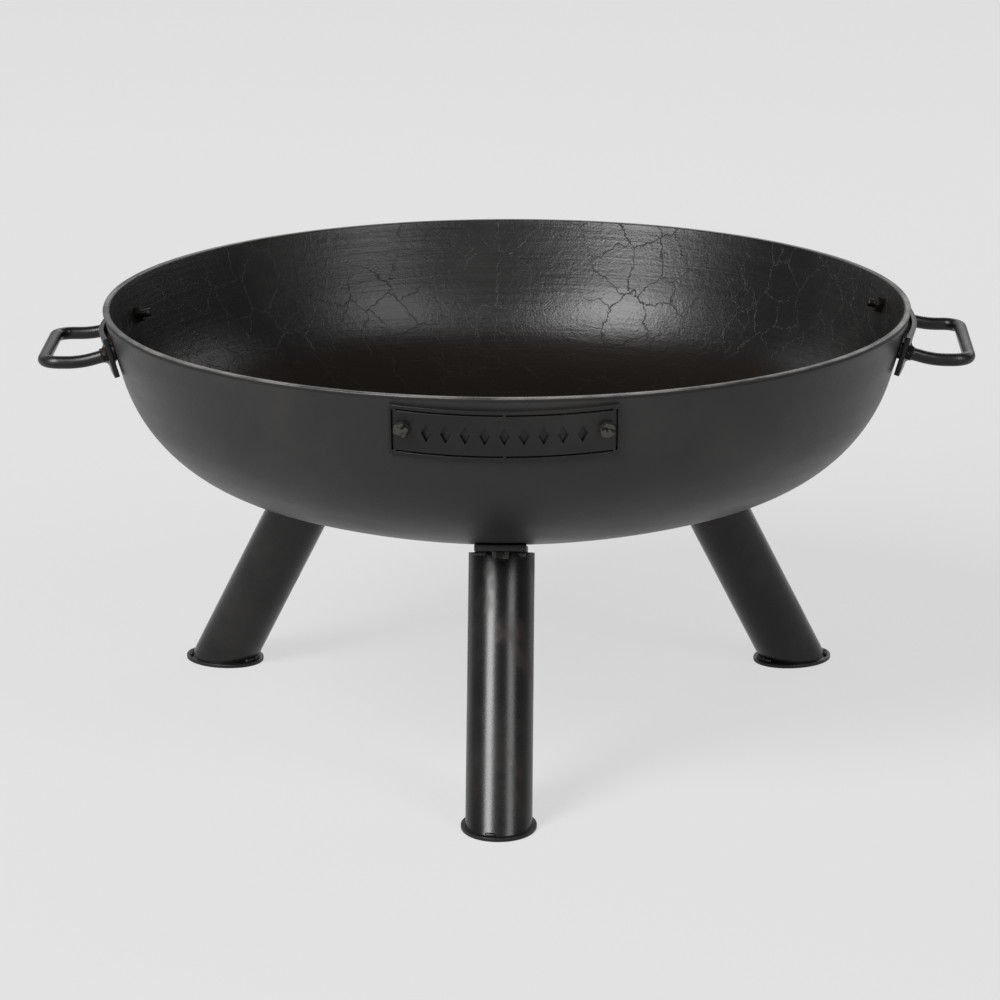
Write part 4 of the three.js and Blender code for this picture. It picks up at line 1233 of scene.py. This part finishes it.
# %% Camera
camera_data = bpy.data.cameras.new("camera")
camera_data.lens = 161.15
camera_data.sensor_width = 36
camera_data.clip_end = 100
camera = linked("camera", camera_data)
camera.location = (0.0252, -4.13113, 1.34513)
pitch, yaw, roll = math.radians(15.329), math.radians(-0.444), math.radians(-0.109)
ahead = Vector((math.sin(yaw) * math.cos(pitch), math.cos(yaw) * math.cos(pitch),
                -math.sin(pitch)))
level = Vector((math.cos(yaw), -math.sin(yaw), 0))
above = level.cross(ahead)
right = level * math.cos(roll) + above * math.sin(roll)
up = right.cross(ahead)
camera.rotation_mode = "QUATERNION"
camera.rotation_quaternion = Matrix((right, up, -ahead)).transposed().to_quaternion()
bpy.context.scene.camera = camera

# %% [markdown]
# ## Floor and light
#
# Black paint shows what stands round it, so the room matters as much as the lamps. The
# pale floor glows a little by itself, which keeps it even and its shadows faint. Overhead
# the room is dark, low down a pale band runs round it, and a brighter one stands behind.
# Two tall soft boxes in front, the stronger one to the left, draw the two bright streaks
# on the front leg and the two patches inside the bowl.

# %% Floor
FLOOR_WHITE = (0.09, 0.09, 0.09, 1)
GLOW_FRONT, GLOW_BACK = 0.59, 0.675
GLOW_FROM, GLOW_TO = -1.4, 3.2
FLOOR_HALF = 30


def pale_floor():
    """A dull white that glows slightly more towards the back."""
    finish = Finish("pale_floor")
    away = finish.between(finish.axis(1), GLOW_FROM, GLOW_TO)
    glow = finish.mixed(away, (GLOW_FRONT,) * 3 + (1,), (GLOW_BACK,) * 3 + (1,))
    inputs = {"Base Color": FLOOR_WHITE, "Roughness": 1.0, "Specular IOR Level": 0.0,
              "Emission Color": glow, "Emission Strength": 1.0}
    return finish.ended(finish.node("BsdfPrincipled", None, inputs))


bm = bmesh.new()
bmesh.ops.create_grid(bm, x_segments=1, y_segments=1, size=FLOOR_HALF)
floor_mesh = bpy.data.meshes.new("floor")
bm.to_mesh(floor_mesh)
bm.free()
floor = linked("floor", floor_mesh)
floor_mesh.materials.append(pale_floor())

# %% The room: how bright each part is, and how far up it reaches
LOW_FRONT, LOW_REST, WALLS = 0.9, 0.3, 0.16
BACK_LEFT, BACK_RIGHT = 1.4, 2.6
LOW_START, LOW_TOP, BACK_TOP, WALL_TOP = -0.2, 0.31, 0.62, 0.85
SOFTNESS, BACK_SOFTNESS = 0.06, 0.05
FRONT_FADE, BACK_FADE, SIDE_FADE = (-0.45, -0.25), (0.25, 0.5), (-0.3, 0.3)


def room():
    """Light that depends only on the way one looks: across, away from the front and up."""
    finish = Finish("room", bpy.data.worlds)
    across, away, up = (finish.axis(index) for index in range(3))
    low = finish.band(up, LOW_START, LOW_TOP, SOFTNESS)
    walls = finish.band(up, LOW_TOP, WALL_TOP, SOFTNESS)
    back = finish.band(up, LOW_TOP, BACK_TOP, BACK_SOFTNESS)
    front = 1 - finish.between(away, *FRONT_FADE)
    behind = finish.between(away, *BACK_FADE)
    right_share = finish.between(across, *SIDE_FADE)
    light = low * (front * (LOW_FRONT - LOW_REST) + LOW_REST)
    light = light + walls * front * WALLS
    light = light + back * behind * (right_share * (BACK_RIGHT - BACK_LEFT) + BACK_LEFT)
    inputs = {"Color": (1, 1, 1, 1), "Strength": light}
    return finish.ended(finish.node("Background", None, inputs), "OutputWorld")


bpy.context.scene.world = room()
bpy.context.scene.view_settings.view_transform = "Standard"

# %% Soft boxes
BOX_DISTANCE, BOX_HEIGHT = 6.0, 4.0
AIM = Vector((0, 0, 0.3))


def soft_box(name, azimuth, elevation, width, power):
    """A rectangle of light aimed at the bowl. Azimuth counts from the front, to the right."""
    light = bpy.data.lights.new(name, "AREA")
    light.shape = "RECTANGLE"
    light.size, light.size_y, light.energy = width, BOX_HEIGHT, power
    lamp = linked(name, light)
    turn, lift = math.radians(azimuth), math.radians(elevation)
    way = Vector((math.sin(turn) * math.cos(lift), -math.cos(turn) * math.cos(lift),
                  math.sin(lift)))
    lamp.location = AIM + way * BOX_DISTANCE
    lamp.rotation_mode = "QUATERNION"
    lamp.rotation_quaternion = (-way).to_track_quat("-Z", "Y")


soft_box("key", -42, 38, 2.2, 700)
soft_box("fill", 44, 36, 2.0, 200)
